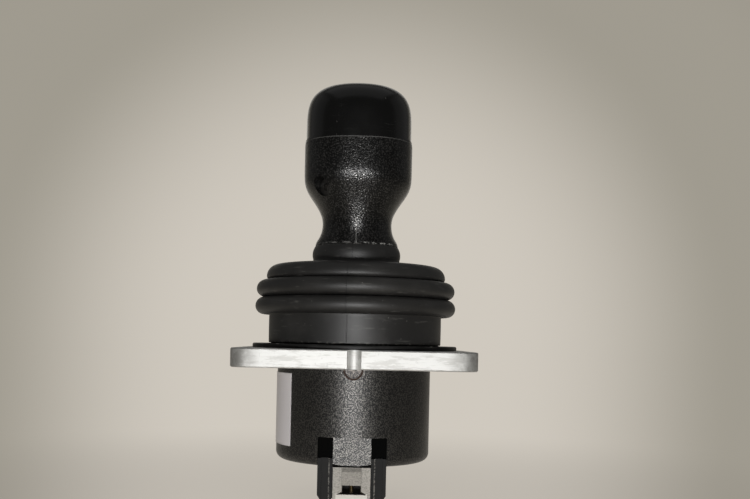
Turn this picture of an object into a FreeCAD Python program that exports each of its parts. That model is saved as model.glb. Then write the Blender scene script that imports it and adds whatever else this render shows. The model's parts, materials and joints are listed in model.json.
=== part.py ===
import FreeCAD
import Part
import math
import os

# Two-axis hand joystick on a square mounting plate, in millimetres.
# Z runs up the lever, X to the operator's right and Y away from the operator.
# The origin is the centre of the plate's underside, which sits on the panel.

# Mounting plate
PLATE_SIDE = 90.0
PLATE_THICK = 7.0
PLATE_CORNER_R = 6.0
EDGE_BREAK = 0.4
MOUNT_EDGE = 7.0
MOUNT_HOLE_R = 2.75
NOTCH_R = 2.6
REGISTER_DEPTH = 1.0
PLATE_LAND = 6.0

# Lever and its gimbal
PIVOT_DEPTH = 7.0
TILT_DEG = 20.0
SHAFT_R = 4.0
SHAFT_CHAMFER = 0.8
SHAFT_STANDOUT = 2.0
SHAFT_SEAT = 1.0
PIN_R = 2.0
PIN_CHAMFER = 0.4
PIN_STANDOUT = 0.5
BUSH_WALL = 1.0
BUSH_INSET = 0.4
YOKE_R = 13.5
YOKE_BORE_R = 9.5
YOKE_HEIGHT = 8.0
HUB_R = 6.5
HUB_FLAT = 5.0
HUB_HALF_HEIGHT = 8.0
STEM_R = 3.2
NUT_FLATS = 13.0
NUT_HEIGHT = 4.0

# Centring springs and the tabs that they hold between their legs
WIRE_R = 0.4
COIL_R = 3.2
COIL_HALF_TURNS = 5
COIL_PITCH = 0.9
SPRING_LEG = 11.5
TAB_THICK = 1.8
TAB_STEP = 1.3
TAB_ROOT = 1.0
TAB_END_GAP = 1.1
HANGER_THICK = 1.5
HANGER_INSET = 0.3

# Lever stop
GATE_THICK = 2.5
GATE_CORNER_R = 5.0
GATE_SCREW_R = 1.25
GATE_SCREW_BITE = 3.0

# Gimbal carrier
CARRIER_THICK = 3.0
EAR_GAP = 3.5
EAR_THICK = 4.0
EAR_WIDTH = 12.0
EAR_STEP = 1.0
RIB_INSET = 1.0

# Boot
SKIRT_R = 34.6
BOOT_WALL = 1.6
RING_HALF = 2.9
RING_DEPTH = 4.9
RING3_R = 40.2
RING2_R = 39.8
RING1_R = 35.9
RING3_Z = 24.0
RING_PITCH = 6.8
RING1_DROP = 1.7
LOW_CREASE_BOW = 0.4
HIGH_CREASE_BOW = 0.5
SHOULDER_Z = 40.1
NECK_RISE = 0.3
COLLAR_R = 17.4
COLLAR_WALL = 2.2
COLLAR_HEIGHT = 7.4
COLLAR_ROOT = 1.8
COLLAR_DIP = 0.4
COLLAR_LIP = 1.0
BOOT_TOP = 48.3
BEAD_WIDTH = 2.2
BEAD_THICK = 1.15
HUB_RIM = 2.5
CLIP_WIDTH = 2.3
CLIP_THICK = 1.0
CLIP_GROOVE = 0.5

# Boot retaining ring
CLAMP_R = 41.0
CLAMP_THICK = 1.7
CLAMP_SCREW_R = 1.0
CLAMP_SCREW_BITE = 4.0

# Lower housing
HOUSING_R = 30.7
HOUSING_WALL = 2.5
HOUSING_DEPTH = 37.0
HOUSING_EDGE_R = 3.0
BOSS_R = 3.4
HOUSING_SCREW_R = 2.0
HOUSING_SCREW_BITE = 10.0
DIMPLE_R = 3.4
DIMPLE_DEPTH = 1.4
SEAL_R = 0.55
POCKET_HEIGHT = 11.0
POCKET_DEPTH = 4.7
TONGUE_WIDTH = 14.3
TONGUE_SETBACK = 1.4
POST_WALL = 1.5
LUG_DROP = 0.6

# Connector header
HEADER_WIDTH = 25.8
HEADER_DEPTH = 21.0
HEADER_LENGTH = 15.0
HEADER_BASE = 3.0
HEADER_CORNER_R = 2.0
HEADER_LUG_WALL = 1.7
SHROUD_WALL = 1.4
HEADER_FRONT_WALL = 3.0
RAIL_RISE = 3.2
RAIL_LENGTH = 16.4
RAIL_SETBACK = 0.7
RAIL_RIB = 1.3
RAIL_INNER = 1.5
RAIL_TIP = 2.6
RAIL_TIP_IN = 1.6
RAIL_TIP_BREAK = 0.8
LATCH_WIDTH = 7.1
LATCH_LENGTH = 6.3
LATCH_PROUD = 1.4
LATCH_DROP = 0.3
LATCH_LEAD = 1.2
WINDOW_HEIGHT = 2.4
WINDOW_FLARE = 1.2
PAD_WIDTH = 11.2
PAD_PROUD = 0.5
CORE_WIDTH = 14.4
CORE_DEPTH = 9.6
CORE_RISE = 1.0
CONTACT_PITCH = 4.2
CONTACT_R = 0.75
CONTACT_RECESS = 4.0
CONTACT_STANDOUT = 1.0
GASKET_WIDTH = 1.2
GASKET_THICK = 1.0
GASKET_MARGIN = 0.8
HEADER_SCREW_R = 1.25
HEADER_SCREW_BITE = 2.4
HEADER_SCREW_INSET = 3.4
HEADER_SCREW_GAP = 1.3

# Sensor board
BOARD_THICK = 1.6
BOARD_LIFT = 3.9
BOARD_GAP = 0.5
BOARD_MARGIN = 1.0
BOARD_SCREW_R = 1.0
BOARD_GRID = 1.0
SCREW_TIP_GAP = 0.4
SENSOR_SIZE = 5.0
SENSOR_THICK = 1.4
MAGNET_R = 3.5
MAGNET_LENGTH = 4.0
MAGNET_GAP = 2.2

# Label
LABEL_THICK = 0.25
LABEL_TOP_GAP = 2.7
LABEL_FOOT_GAP = 3.3
LABEL_START_DEG = 51.0
LABEL_SWEEP_DEG = 93.0

# Hand grip
GRIP_SEAM_Z = 88.0
GRIP_TOP_Z = 112.0
GRIP_WALL = 2.5
GRIP_HALF_WIDTH = 21.4
GRIP_HALF_DEPTH = 23.0
GRIP_WAIST_R = 13.85
GRIP_FOOT_R = 16.5
GRIP_FLOOR = 12.0
GRIP_BOSS_R = 9.5
FIN_THICK = 2.0
CAP_STEP = 0.5
CAP_LIP = 1.3
CAP_SPIGOT = 4.0
CAP_WALL = 2.2
CLAMP_HOLE_Z = 70.0
CLAMP_HOLE_DEG = 40.0
CLAMP_HOLE_R = 3.6
CLAMP_HEAD_R = 3.3
CLAMP_HEAD_LENGTH = 3.6
CLAMP_HEAD_AT = 15.3
CLAMP_SHANK_R = 2.0
SLEEVE_WALL = 1.6
OVAL_POLES = 24
INSERT_R = 7.0
INSERT_LENGTH = 28.0
INSERT_BASE = 4.0

# Clearances
RUNNING = 0.03
SLIP = 0.1
SOFT_GAP = 0.3
EDGE_LAND = 0.25

# Proportions of a screw's head to its thread, and of the lever's stem to the room above the magnet
FLAT_HEAD_RATIO = 1.875
SMALL_HEAD_RATIO = 1.75
PAN_HEAD_RATIO = 1.9
STEM_SHARE = 0.625

# Places and sizes that follow from those above
MOUNT_SPACING = PLATE_SIDE - 2 * MOUNT_EDGE
PLATE_TOP = PLATE_THICK
PIVOT_Z = -PIVOT_DEPTH
BUSH_R = PIN_R + BUSH_WALL
EAR_X = YOKE_R + EAR_GAP
EAR_END = EAR_X + EAR_THICK
CARRIER_BORE_R = EAR_X - EAR_STEP
HOUSING_BORE_R = HOUSING_R - HOUSING_WALL
HOUSING_HEAD_R = HOUSING_SCREW_R * FLAT_HEAD_RATIO
HOUSING_SCREW_LENGTH = PLATE_THICK + CARRIER_THICK + HOUSING_SCREW_BITE
BOSS_CIRCLE_R = HOUSING_BORE_R - BOSS_R - SOFT_GAP
SEAL_CIRCLE_R = HOUSING_R - HOUSING_WALL / 2
GATE_R = BOSS_CIRCLE_R - HOUSING_HEAD_R - EDGE_LAND
GATE_Z = PLATE_TOP - GATE_THICK
PLATE_BORE_R = GATE_R - PLATE_LAND
GATE_HEAD_R = GATE_SCREW_R * FLAT_HEAD_RATIO
GATE_CIRCLE_R = (PLATE_BORE_R + GATE_R) / 2
GATE_SCREW_LENGTH = GATE_THICK + GATE_SCREW_BITE
CLAMP_TOP = PLATE_TOP + CLAMP_THICK
CLAMP_SCREW_HEAD_R = CLAMP_SCREW_R * SMALL_HEAD_RATIO
CLAMP_CIRCLE_R = CLAMP_R - CLAMP_SCREW_HEAD_R - EDGE_LAND
CLAMP_SCREW_LENGTH = CLAMP_THICK + CLAMP_SCREW_BITE
COLLAR_Z = BOOT_TOP - COLLAR_HEIGHT
RING_ROUND = (RING_DEPTH**2 + RING_HALF**2) / (2 * RING_DEPTH)
FLOOR_Z = -HOUSING_DEPTH + HOUSING_WALL
POCKET_TOP = -HOUSING_DEPTH + POCKET_HEIGHT
BOARD_R = BOSS_CIRCLE_R - BOSS_R - BOARD_GAP
BOARD_Z = FLOOR_Z + BOARD_LIFT
BOARD_TOP = BOARD_Z + BOARD_THICK
MAGNET_Z = BOARD_TOP + SENSOR_THICK + MAGNET_GAP
HUB_LOW = PIVOT_Z - HUB_HALF_HEIGHT
HUB_HIGH = PIVOT_Z + HUB_HALF_HEIGHT
SHAFT_LOW = PIVOT_Z + PIN_R + SHAFT_SEAT
STEM_LENGTH = (HUB_LOW - MAGNET_Z - MAGNET_LENGTH) * STEM_SHARE
POCKET_BACK = -HOUSING_R + POCKET_DEPTH
HEADER_FRONT = -HOUSING_R + TONGUE_SETBACK
HEADER_BACK = HEADER_FRONT + HEADER_DEPTH
SHROUD_FRONT = POCKET_BACK - SLIP
POCKET_WIDTH = HEADER_WIDTH + 2 * SLIP
FRONT_WIDTH = TONGUE_WIDTH - 2 * SLIP
HEADER_TOP = -HOUSING_DEPTH
HEADER_LOW_BASE = HEADER_TOP - HEADER_BASE
HEADER_END = HEADER_TOP - HEADER_LENGTH
HEADER_LUG_R = HEADER_SCREW_R + HEADER_LUG_WALL
LATCH_TOP = HEADER_TOP - LATCH_DROP
LATCH_LOW = LATCH_TOP - LATCH_LENGTH
WINDOW_MID = LATCH_LOW - WINDOW_HEIGHT
WINDOW_LOW = WINDOW_MID - WINDOW_FLARE
CORE_FRONT = POCKET_BACK + HOUSING_WALL + SLIP
CORE_BACK = CORE_FRONT + CORE_DEPTH
CORE_Y = (CORE_FRONT + CORE_BACK) / 2
CORE_TOP = FLOOR_Z + CORE_RISE
TAB_HALF = COIL_R - WIRE_R - SLIP / 2
MOVING_TAB_Z = PIVOT_Z - YOKE_HEIGHT / 2 - TAB_STEP - SLIP - TAB_THICK
FIXED_TAB_Z = MOVING_TAB_Z - TAB_STEP - TAB_THICK
LABEL_HEIGHT = HOUSING_DEPTH - HOUSING_EDGE_R - LABEL_TOP_GAP - LABEL_FOOT_GAP
INSERT_LOW = BOOT_TOP + INSERT_BASE
INSERT_TOP = INSERT_LOW + INSERT_LENGTH
SHAFT_TOP = INSERT_TOP + SHAFT_STANDOUT
CORNER_DEGREES = (45, 135, 225, 315)
SIDE_DEGREES = (0, 90, 180, 270)
TOUCH = 0.01


def vec(x, y, z):
    return FreeCAD.Vector(x, y, z)


def disc(radius, low, high, x=0.0, y=0.0):
    """Upright cylinder between two heights."""
    return Part.makeCylinder(radius, high - low, vec(x, y, low))


def tube(outer, inner, low, high, x=0.0, y=0.0):
    """Upright ring of rectangular section."""
    return disc(outer, low, high, x, y).cut(disc(inner, low, high, x, y))


def rod(radius, start, end):
    """Cylinder from one point to another."""
    run = end.sub(start)
    return Part.makeCylinder(radius, run.Length, start, run)


def block(x0, x1, y0, y1, z0, z1):
    """Box from its lower and upper corners."""
    return Part.makeBox(x1 - x0, y1 - y0, z1 - z0, vec(x0, y0, z0))


def centred(width, y0, y1, z0, z1):
    """Box that is symmetric about the plane X = 0."""
    return block(-width / 2, width / 2, y0, y1, z0, z1)


def turned(shape, degrees):
    """Copy turned about the Z axis."""
    copy = shape.copy()
    copy.rotate(vec(0, 0, 0), vec(0, 0, 1), degrees)
    return copy


def pattern(shape, degrees):
    """The same piece at several angles about the Z axis."""
    return [turned(shape, angle) for angle in degrees]


def fused(shapes):
    """One solid from several that meet."""
    whole = shapes[0].fuse(shapes[1:]) if len(shapes) > 1 else shapes[0]
    return whole.removeSplitter()


def drilled(shape, tools):
    """The shape with every tool cut out of it."""
    return shape.cut(Part.makeCompound(tools)) if tools else shape


def revolved(edges):
    """Solid of revolution about Z from edges drawn in the XZ plane."""
    wire = Part.Wire(Part.__sortEdges__(edges))
    return Part.Face(wire).revolve(vec(0, 0, 0), vec(0, 0, 1), 360)


def line(start, end):
    return Part.makeLine(vec(start[0], 0, start[1]), vec(end[0], 0, end[1]))


def arc(start, middle, end):
    return Part.Arc(
        vec(start[0], 0, start[1]),
        vec(middle[0], 0, middle[1]),
        vec(end[0], 0, end[1]),
    ).toShape()


def bulge(start, end):
    """Arc between two points that is upright at the outer one of them."""
    widest, other = (start, end) if start[0] > end[0] else (end, start)
    reach = widest[0] - other[0]
    rise = other[1] - widest[1]
    radius = (reach**2 + rise**2) / (2 * reach)
    angle = math.atan2(rise, radius - reach) / 2
    middle = (widest[0] + radius * (math.cos(angle) - 1), widest[1] + radius * math.sin(angle))
    return arc(start, middle, end)


def fold(start, end, depth):
    """Arc between two points that bows by a depth towards the axis, drawn from below."""
    across = end[0] - start[0]
    rise = end[1] - start[1]
    share = depth / math.hypot(across, rise)
    middle = ((start[0] + end[0]) / 2 - rise * share, (start[1] + end[1]) / 2 + across * share)
    return arc(start, middle, end)


def level_rims(shape, height):
    """Full-circle edges that lie at one height."""
    return [
        edge
        for edge in shape.Edges
        if len(edge.Vertexes) == 1
        and abs(edge.BoundBox.ZMin - height) < TOUCH
        and abs(edge.BoundBox.ZMax - height) < TOUCH
    ]


def uprights(shape):
    """Straight edges that run along Z."""
    return [
        edge
        for edge in shape.Edges
        if len(edge.Vertexes) == 2
        and edge.BoundBox.ZLength > TOUCH
        and edge.BoundBox.XLength + edge.BoundBox.YLength < TOUCH
    ]


def countersunk(radius, head_radius, top, length):
    """Flat-head screw, head up."""
    head_height = head_radius - radius
    profile = Part.makePolygon(
        [
            vec(0, 0, top - length),
            vec(radius * 0.7, 0, top - length),
            vec(radius, 0, top - length + radius * 0.6),
            vec(radius, 0, top - head_height),
            vec(head_radius, 0, top),
            vec(0, 0, top),
            vec(0, 0, top - length),
        ]
    )
    return Part.Face(profile).revolve(vec(0, 0, 0), vec(0, 0, 1), 360)


def countersink(radius, head_radius, top, length):
    """Cutter for a flat-head screw of the same sizes."""
    head_height = head_radius - radius
    cone = Part.makeCone(radius, head_radius, head_height, vec(0, 0, top - head_height))
    return disc(radius, top - length, top).fuse(cone)


def hexagon(across_flats, low, high):
    """Upright hexagonal prism."""
    reach = across_flats / math.sqrt(3)
    corners = [
        vec(reach * math.cos(math.radians(a)), reach * math.sin(math.radians(a)), low)
        for a in range(0, 361, 60)
    ]
    return Part.Face(Part.makePolygon(corners)).extrude(vec(0, 0, high - low))


def moved(shape, x, y, z=0.0):
    copy = shape.copy()
    copy.translate(vec(x, y, z))
    return copy


def mounting_plate():
    """Milled square plate with its bore, recesses, seal groove, screw holes and front notch."""
    half = PLATE_SIDE / 2
    plate = block(-half, half, -half, half, 0, PLATE_THICK)
    plate = plate.makeFillet(PLATE_CORNER_R, uprights(plate))
    rims = [edge for edge in plate.Edges if edge.BoundBox.ZLength < TOUCH]
    plate = plate.makeChamfer(EDGE_BREAK, rims)
    spot = MOUNT_SPACING / 2
    cuts = [disc(PLATE_BORE_R, 0, PLATE_TOP), disc(GATE_R, GATE_Z, PLATE_TOP)]
    cuts += [disc(MOUNT_HOLE_R, 0, PLATE_TOP, x, y) for x in (-spot, spot) for y in (-spot, spot)]
    cuts.append(disc(NOTCH_R, 0, PLATE_TOP, 0, -half))
    sink = countersink(HOUSING_SCREW_R + SLIP, HOUSING_HEAD_R + SLIP, PLATE_TOP, PLATE_THICK)
    cuts += pattern(moved(sink, BOSS_CIRCLE_R, 0), CORNER_DEGREES)
    tap_z = CLAMP_TOP - CLAMP_SCREW_LENGTH - SLIP
    cuts += pattern(disc(CLAMP_SCREW_R, tap_z, PLATE_TOP, CLAMP_CIRCLE_R, 0), CORNER_DEGREES)
    gate_tap_z = PLATE_TOP - GATE_SCREW_LENGTH - SLIP
    cuts += pattern(disc(GATE_SCREW_R, gate_tap_z, GATE_Z, GATE_CIRCLE_R, 0), SIDE_DEGREES)
    cuts.append(disc(HOUSING_R + SLIP, 0, REGISTER_DEPTH))
    groove_top = REGISTER_DEPTH + 2 * SEAL_R
    reach = SEAL_R + SLIP
    cuts.append(tube(SEAL_CIRCLE_R + reach, SEAL_CIRCLE_R - reach, REGISTER_DEPTH, groove_top))
    return drilled(plate, cuts)


def boot_retaining_ring():
    """Thin black ring that traps the boot's bead against the plate."""
    bore = SKIRT_R - BOOT_WALL / 2 + SOFT_GAP
    ring = tube(CLAMP_R, bore, PLATE_TOP, CLAMP_TOP)
    outer = [edge for edge in level_rims(ring, CLAMP_TOP) if edge.BoundBox.XMax > bore + SLIP]
    ring = ring.makeChamfer(EDGE_BREAK, outer)
    cuts = [disc(SKIRT_R + BEAD_WIDTH + SOFT_GAP, PLATE_TOP, PLATE_TOP + BEAD_THICK)]
    sink = countersink(CLAMP_SCREW_R + SLIP, CLAMP_SCREW_HEAD_R + SLIP, CLAMP_TOP, CLAMP_THICK)
    cuts += pattern(moved(sink, CLAMP_CIRCLE_R, 0), CORNER_DEGREES)
    return drilled(ring, cuts)


def ring_screws():
    screw = countersunk(CLAMP_SCREW_R, CLAMP_SCREW_HEAD_R, CLAMP_TOP, CLAMP_SCREW_LENGTH)
    return Part.makeCompound(pattern(moved(screw, CLAMP_CIRCLE_R, 0), CORNER_DEGREES))


def gate_opening():
    """Rounded square that the lever's shaft reaches at the limit of each axis."""
    rise = PLATE_TOP - PIVOT_Z
    tilt = math.radians(TILT_DEG)
    half = rise * math.tan(tilt) / math.cos(tilt) + SHAFT_R / math.cos(tilt) ** 2 + SOFT_GAP
    opening = block(-half, half, -half, half, GATE_Z, PLATE_TOP)
    return opening.makeFillet(GATE_CORNER_R, uprights(opening))


def gate_plate():
    """Restrictor plate let into the top of the mounting plate."""
    plate = disc(GATE_R - SLIP, GATE_Z, PLATE_TOP)
    sink = countersink(GATE_SCREW_R + SLIP, GATE_HEAD_R + SLIP, PLATE_TOP, GATE_THICK)
    sinks = pattern(moved(sink, GATE_CIRCLE_R, 0), SIDE_DEGREES)
    return drilled(plate, [gate_opening()] + sinks)


def gate_screws():
    screw = countersunk(GATE_SCREW_R, GATE_HEAD_R, PLATE_TOP, GATE_SCREW_LENGTH)
    return Part.makeCompound(pattern(moved(screw, GATE_CIRCLE_R, 0), SIDE_DEGREES))


def ring_hollow(reach, z, above, below):
    """Inside of one fat ring of the boot, between the wall above it and the wall below."""
    radius = RING_ROUND - BOOT_WALL
    centre = reach - RING_ROUND
    return [
        line((above, z + radius), (centre, z + radius)),
        arc((centre, z + radius), (centre + radius, z), (centre, z - radius)),
        line((centre, z - radius), (below, z - radius)),
    ]


def boot():
    """Rubber bellows: bead, plain skirt, three fat rings, a folded roof and the collar."""
    z3 = RING3_Z
    z2 = z3 + RING_PITCH
    z1 = z2 + RING_PITCH
    r3 = RING3_R - RING_DEPTH
    r2 = RING2_R - RING_DEPTH
    r1 = RING1_R - RING_DEPTH / 2
    half = RING_HALF
    wall = BOOT_WALL
    floor = PLATE_TOP
    bead = SKIRT_R + BEAD_WIDTH
    bead_top = floor + BEAD_THICK - SLIP
    neck = SKIRT_R - wall / 2
    skirt_foot = CLAMP_TOP + NECK_RISE
    skirt_top = z3 - half
    roof = SHOULDER_Z
    crown = z1 - RING1_DROP
    shoulder = RING1_R - RING_DEPTH
    valley = (COLLAR_R + shoulder) / 2
    root = COLLAR_R + wall
    root_z = COLLAR_Z - COLLAR_DIP
    stem_z = COLLAR_Z + COLLAR_ROOT
    swell_z = BOOT_TOP - COLLAR_HEIGHT * 0.28
    lip = COLLAR_R - COLLAR_LIP
    collar_in = COLLAR_R - COLLAR_WALL
    inner = SKIRT_R - 2 * wall
    low_web = r2 - LOW_CREASE_BOW - wall
    high_web = r1 - wall
    hollow = RING_ROUND - wall
    outside = [
        line((bead, floor), (bead, bead_top)),
        line((bead, bead_top), (neck, bead_top)),
        line((neck, bead_top), (neck, skirt_foot)),
        line((neck, skirt_foot), (SKIRT_R, skirt_foot)),
        line((SKIRT_R, skirt_foot), (SKIRT_R, skirt_top)),
        arc((SKIRT_R, skirt_top), (RING3_R, z3), (r3, z3 + half)),
        fold((r3, z3 + half), (r2, z2 - half), LOW_CREASE_BOW),
        arc((r2, z2 - half), (RING2_R, z2), (r2, z2 + half)),
        fold((r2, z2 + half), (r1, z1 - half), HIGH_CREASE_BOW),
        bulge((r1, z1 - half), (RING1_R, crown)),
        bulge((RING1_R, crown), (shoulder, roof)),
        arc((shoulder, roof), (valley, roof - wall), (root, root_z)),
        arc((root, root_z), (COLLAR_R + wall * 0.2, COLLAR_Z + COLLAR_ROOT * 0.3), (COLLAR_R, stem_z)),
        arc((COLLAR_R, stem_z), (COLLAR_R + SLIP, swell_z), (lip, BOOT_TOP)),
    ]
    inside = [
        line((lip, BOOT_TOP), (collar_in, BOOT_TOP)),
        line((collar_in, BOOT_TOP), (collar_in, COLLAR_Z)),
        line((collar_in, COLLAR_Z), (root, root_z - wall)),
        arc((root, root_z - wall), (valley, roof - 2 * wall), (shoulder, roof - wall)),
        bulge((shoulder, roof - wall), (RING1_R - wall, crown + wall / 2)),
        bulge((RING1_R - wall, crown + wall / 2), (high_web, z1 - half + wall)),
        line((high_web, z1 - half + wall), (high_web, z2 + hollow)),
        *ring_hollow(RING2_R, z2, high_web, low_web),
        line((low_web, z2 - hollow), (low_web, z3 + hollow)),
        *ring_hollow(RING3_R, z3, low_web, inner),
        line((inner, z3 - hollow), (inner, floor)),
        line((inner, floor), (bead, floor)),
    ]
    return revolved(outside + inside)


def boot_hub():
    """Hub on the shaft that carries the boot's collar and the foot of the grip."""
    hub = disc(COLLAR_R - COLLAR_WALL, COLLAR_Z, BOOT_TOP)
    relief = tube(COLLAR_R - 2 * COLLAR_WALL, SHAFT_R + HUB_RIM, COLLAR_Z, BOOT_TOP - HUB_RIM)
    return drilled(hub, [disc(SHAFT_R + SLIP / 2, COLLAR_Z, BOOT_TOP), relief])


def hub_clip():
    """Open retaining clip in the shaft's groove, under the boot hub."""
    low = COLLAR_Z - CLIP_THICK
    floor = SHAFT_R - CLIP_GROOVE
    reach = floor + CLIP_WIDTH
    mouth = block(0, reach, -SHAFT_R * 0.7, SHAFT_R * 0.7, low, COLLAR_Z)
    return tube(reach, floor, low, COLLAR_Z).cut(mouth)


def lower_housing():
    """Moulded cup with screw bosses, board posts and the pocket that the connector stands in."""
    outer = disc(HOUSING_R, -HOUSING_DEPTH, REGISTER_DEPTH)
    cup = outer.makeFillet(HOUSING_EDGE_R, level_rims(outer, -HOUSING_DEPTH))
    wall = HOUSING_WALL
    bottom = -HOUSING_DEPTH
    inside = disc(HOUSING_BORE_R, FLOOR_Z, REGISTER_DEPTH)
    shelf_width = POCKET_WIDTH + 2 * wall
    inside = inside.cut(centred(shelf_width, -HOUSING_R, POCKET_BACK + wall, FLOOR_Z, POCKET_TOP + wall))
    boss_top = -CARRIER_THICK
    web = block(BOSS_CIRCLE_R, HOUSING_BORE_R + wall / 2, -wall / 2, wall / 2, FLOOR_Z, boss_top)
    bosses = pattern(disc(BOSS_R, FLOOR_Z, boss_top, BOSS_CIRCLE_R, 0).fuse(web), CORNER_DEGREES)
    lug_top = BOARD_Z - LUG_DROP
    posts = [disc(BOARD_SCREW_R + POST_WALL, FLOOR_Z, BOARD_Z, x, y) for x, y in board_screw_places()]
    lugs = [disc(HEADER_SCREW_R + POST_WALL, FLOOR_Z, lug_top, x, y) for x, y in header_screw_places()]
    cup = fused([cup.cut(inside)] + bosses + posts + lugs)
    pocket = centred(POCKET_WIDTH, -HOUSING_R - wall, POCKET_BACK, bottom, POCKET_TOP)
    tongue = centred(TONGUE_WIDTH, HEADER_FRONT, POCKET_BACK, bottom, POCKET_TOP)
    cuts = [pocket.cut(tongue)]
    cuts.append(Part.makeCylinder(DIMPLE_R, DIMPLE_DEPTH, vec(0, -HOUSING_R, 0), vec(0, 1, 0)))
    depth = HOUSING_SCREW_LENGTH - PLATE_THICK + SLIP
    cuts += pattern(disc(HOUSING_SCREW_R, -depth, boss_top, BOSS_CIRCLE_R, 0), CORNER_DEGREES)
    cuts += [disc(BOARD_SCREW_R, FLOOR_Z, BOARD_Z, x, y) for x, y in board_screw_places()]
    cuts += [disc(HEADER_SCREW_R, bottom, lug_top, x, y) for x, y in header_screw_places()]
    cuts.append(centred(CORE_WIDTH + 2 * SLIP, CORE_FRONT - SLIP, CORE_BACK + SLIP, bottom, FLOOR_Z))
    return drilled(cup, cuts)


def housing_seal():
    """O-ring squeezed between the plate's groove and the housing's rim."""
    return Part.makeTorus(SEAL_CIRCLE_R, SEAL_R, vec(0, 0, REGISTER_DEPTH + SEAL_R))


def housing_screws():
    screw = countersunk(HOUSING_SCREW_R, HOUSING_HEAD_R, PLATE_TOP, HOUSING_SCREW_LENGTH)
    return Part.makeCompound(pattern(moved(screw, BOSS_CIRCLE_R, 0), CORNER_DEGREES))


def label_wedge(radius):
    """Sector of a cylinder over the label's height and sweep."""
    foot = vec(0, 0, -LABEL_TOP_GAP - LABEL_HEIGHT)
    return Part.makeCylinder(radius, LABEL_HEIGHT, foot, vec(0, 0, 1), LABEL_SWEEP_DEG)


def identification_label():
    """Bare label wrapped round the left side of the housing."""
    label = label_wedge(HOUSING_R + LABEL_THICK).cut(label_wedge(HOUSING_R))
    return turned(label, 270 - LABEL_START_DEG - LABEL_SWEEP_DEG)


def gimbal_carrier():
    """Cast ring under the plate with two ears for the outer axis and a spring stop on each."""
    ring = tube(HOUSING_BORE_R - SLIP, CARRIER_BORE_R, -CARRIER_THICK, REGISTER_DEPTH)
    half = EAR_WIDTH / 2
    eye = Part.makeCylinder(half, EAR_THICK, vec(EAR_X, 0, PIVOT_Z), vec(1, 0, 0))
    web = block(EAR_X, EAR_END, -half, half, PIVOT_Z, -CARRIER_THICK)
    stem = block(EAR_X, EAR_END, -TAB_HALF, TAB_HALF, FIXED_TAB_Z, PIVOT_Z)
    stop = block(YOKE_R + SOFT_GAP, EAR_END, -TAB_HALF, TAB_HALF, FIXED_TAB_Z, FIXED_TAB_Z + TAB_THICK)
    rib = Part.Face(
        Part.makePolygon(
            [
                vec(EAR_END, BUSH_R, -CARRIER_THICK),
                vec(HOUSING_BORE_R - RIB_INSET, BUSH_R, -CARRIER_THICK),
                vec(EAR_END, BUSH_R, PIVOT_Z),
                vec(EAR_END, BUSH_R, -CARRIER_THICK),
            ]
        )
    ).extrude(vec(0, half - BUSH_R, 0))
    ear = eye.fuse([web, stem, stop, rib, rib.mirror(vec(0, 0, 0), vec(0, 1, 0))])
    carrier = fused([ring] + pattern(ear, (0, 180)))
    cuts = [rod(BUSH_R, vec(-EAR_END, 0, PIVOT_Z), vec(EAR_END, 0, PIVOT_Z))]
    hole = disc(HOUSING_SCREW_R + SLIP, -CARRIER_THICK, REGISTER_DEPTH, BOSS_CIRCLE_R, 0)
    return drilled(carrier, cuts + pattern(hole, CORNER_DEGREES))


def bush(start, end):
    return rod(BUSH_R, start, end).cut(rod(PIN_R + RUNNING, start, end))


def carrier_bushes():
    one = bush(vec(EAR_X, 0, PIVOT_Z), vec(EAR_END, 0, PIVOT_Z))
    return Part.makeCompound(pattern(one, (0, 180)))


def lever_bushes():
    one = bush(vec(0, YOKE_BORE_R - BUSH_INSET, PIVOT_Z), vec(0, YOKE_R - BUSH_INSET, PIVOT_Z))
    one = one.common(tube(YOKE_R, YOKE_BORE_R, PIVOT_Z - BUSH_R, PIVOT_Z + BUSH_R))
    return Part.makeCompound(pattern(one, (0, 180)))


def hanging_tab(start, end, hanger_start, hanger_thick, tab_z):
    """Spring tab along X with the hanger that joins it to the gimbal ring above."""
    tab = block(start, end, -TAB_HALF, TAB_HALF, tab_z, tab_z + TAB_THICK)
    hanger_end = hanger_start + hanger_thick
    hanger = block(hanger_start, hanger_end, -TAB_HALF, TAB_HALF, tab_z, PIVOT_Z - BUSH_R)
    return tab.fuse(hanger)


def gimbal_ring():
    """Gimbal ring with spring tabs on both axes and bores for the outer pins and inner bushes."""
    ring = tube(YOKE_R, YOKE_BORE_R, PIVOT_Z - YOKE_HEIGHT / 2, PIVOT_Z + YOKE_HEIGHT / 2)
    drop = YOKE_R - HANGER_INSET - HANGER_THICK
    outer_tab = hanging_tab(drop, EAR_X - SLIP, drop, HANGER_THICK, MOVING_TAB_Z)
    inner_start = YOKE_BORE_R + HANGER_INSET
    inner_thick = 2 * HANGER_THICK
    inner_end = inner_start + inner_thick
    inner_tab = hanging_tab(HUB_FLAT + SOFT_GAP, inner_end, inner_start, inner_thick, FIXED_TAB_Z)
    body = fused([ring] + pattern(outer_tab, (0, 180)) + pattern(inner_tab, (90, 270)))
    cuts = [rod(PIN_R, vec(-EAR_X, 0, PIVOT_Z), vec(EAR_X, 0, PIVOT_Z))]
    cuts.append(rod(BUSH_R, vec(0, -EAR_X, PIVOT_Z), vec(0, EAR_X, PIVOT_Z)))
    return drilled(body, cuts)


def gimbal_pins():
    end = EAR_END + PIN_STANDOUT
    pin = rod(PIN_R, vec(YOKE_BORE_R + SOFT_GAP, 0, PIVOT_Z), vec(end, 0, PIVOT_Z))
    tip = [edge for edge in pin.Edges if len(edge.Vertexes) == 1 and edge.BoundBox.XMin > end - TOUCH]
    return Part.makeCompound(pattern(pin.makeChamfer(PIN_CHAMFER, tip), (0, 180)))


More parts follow.
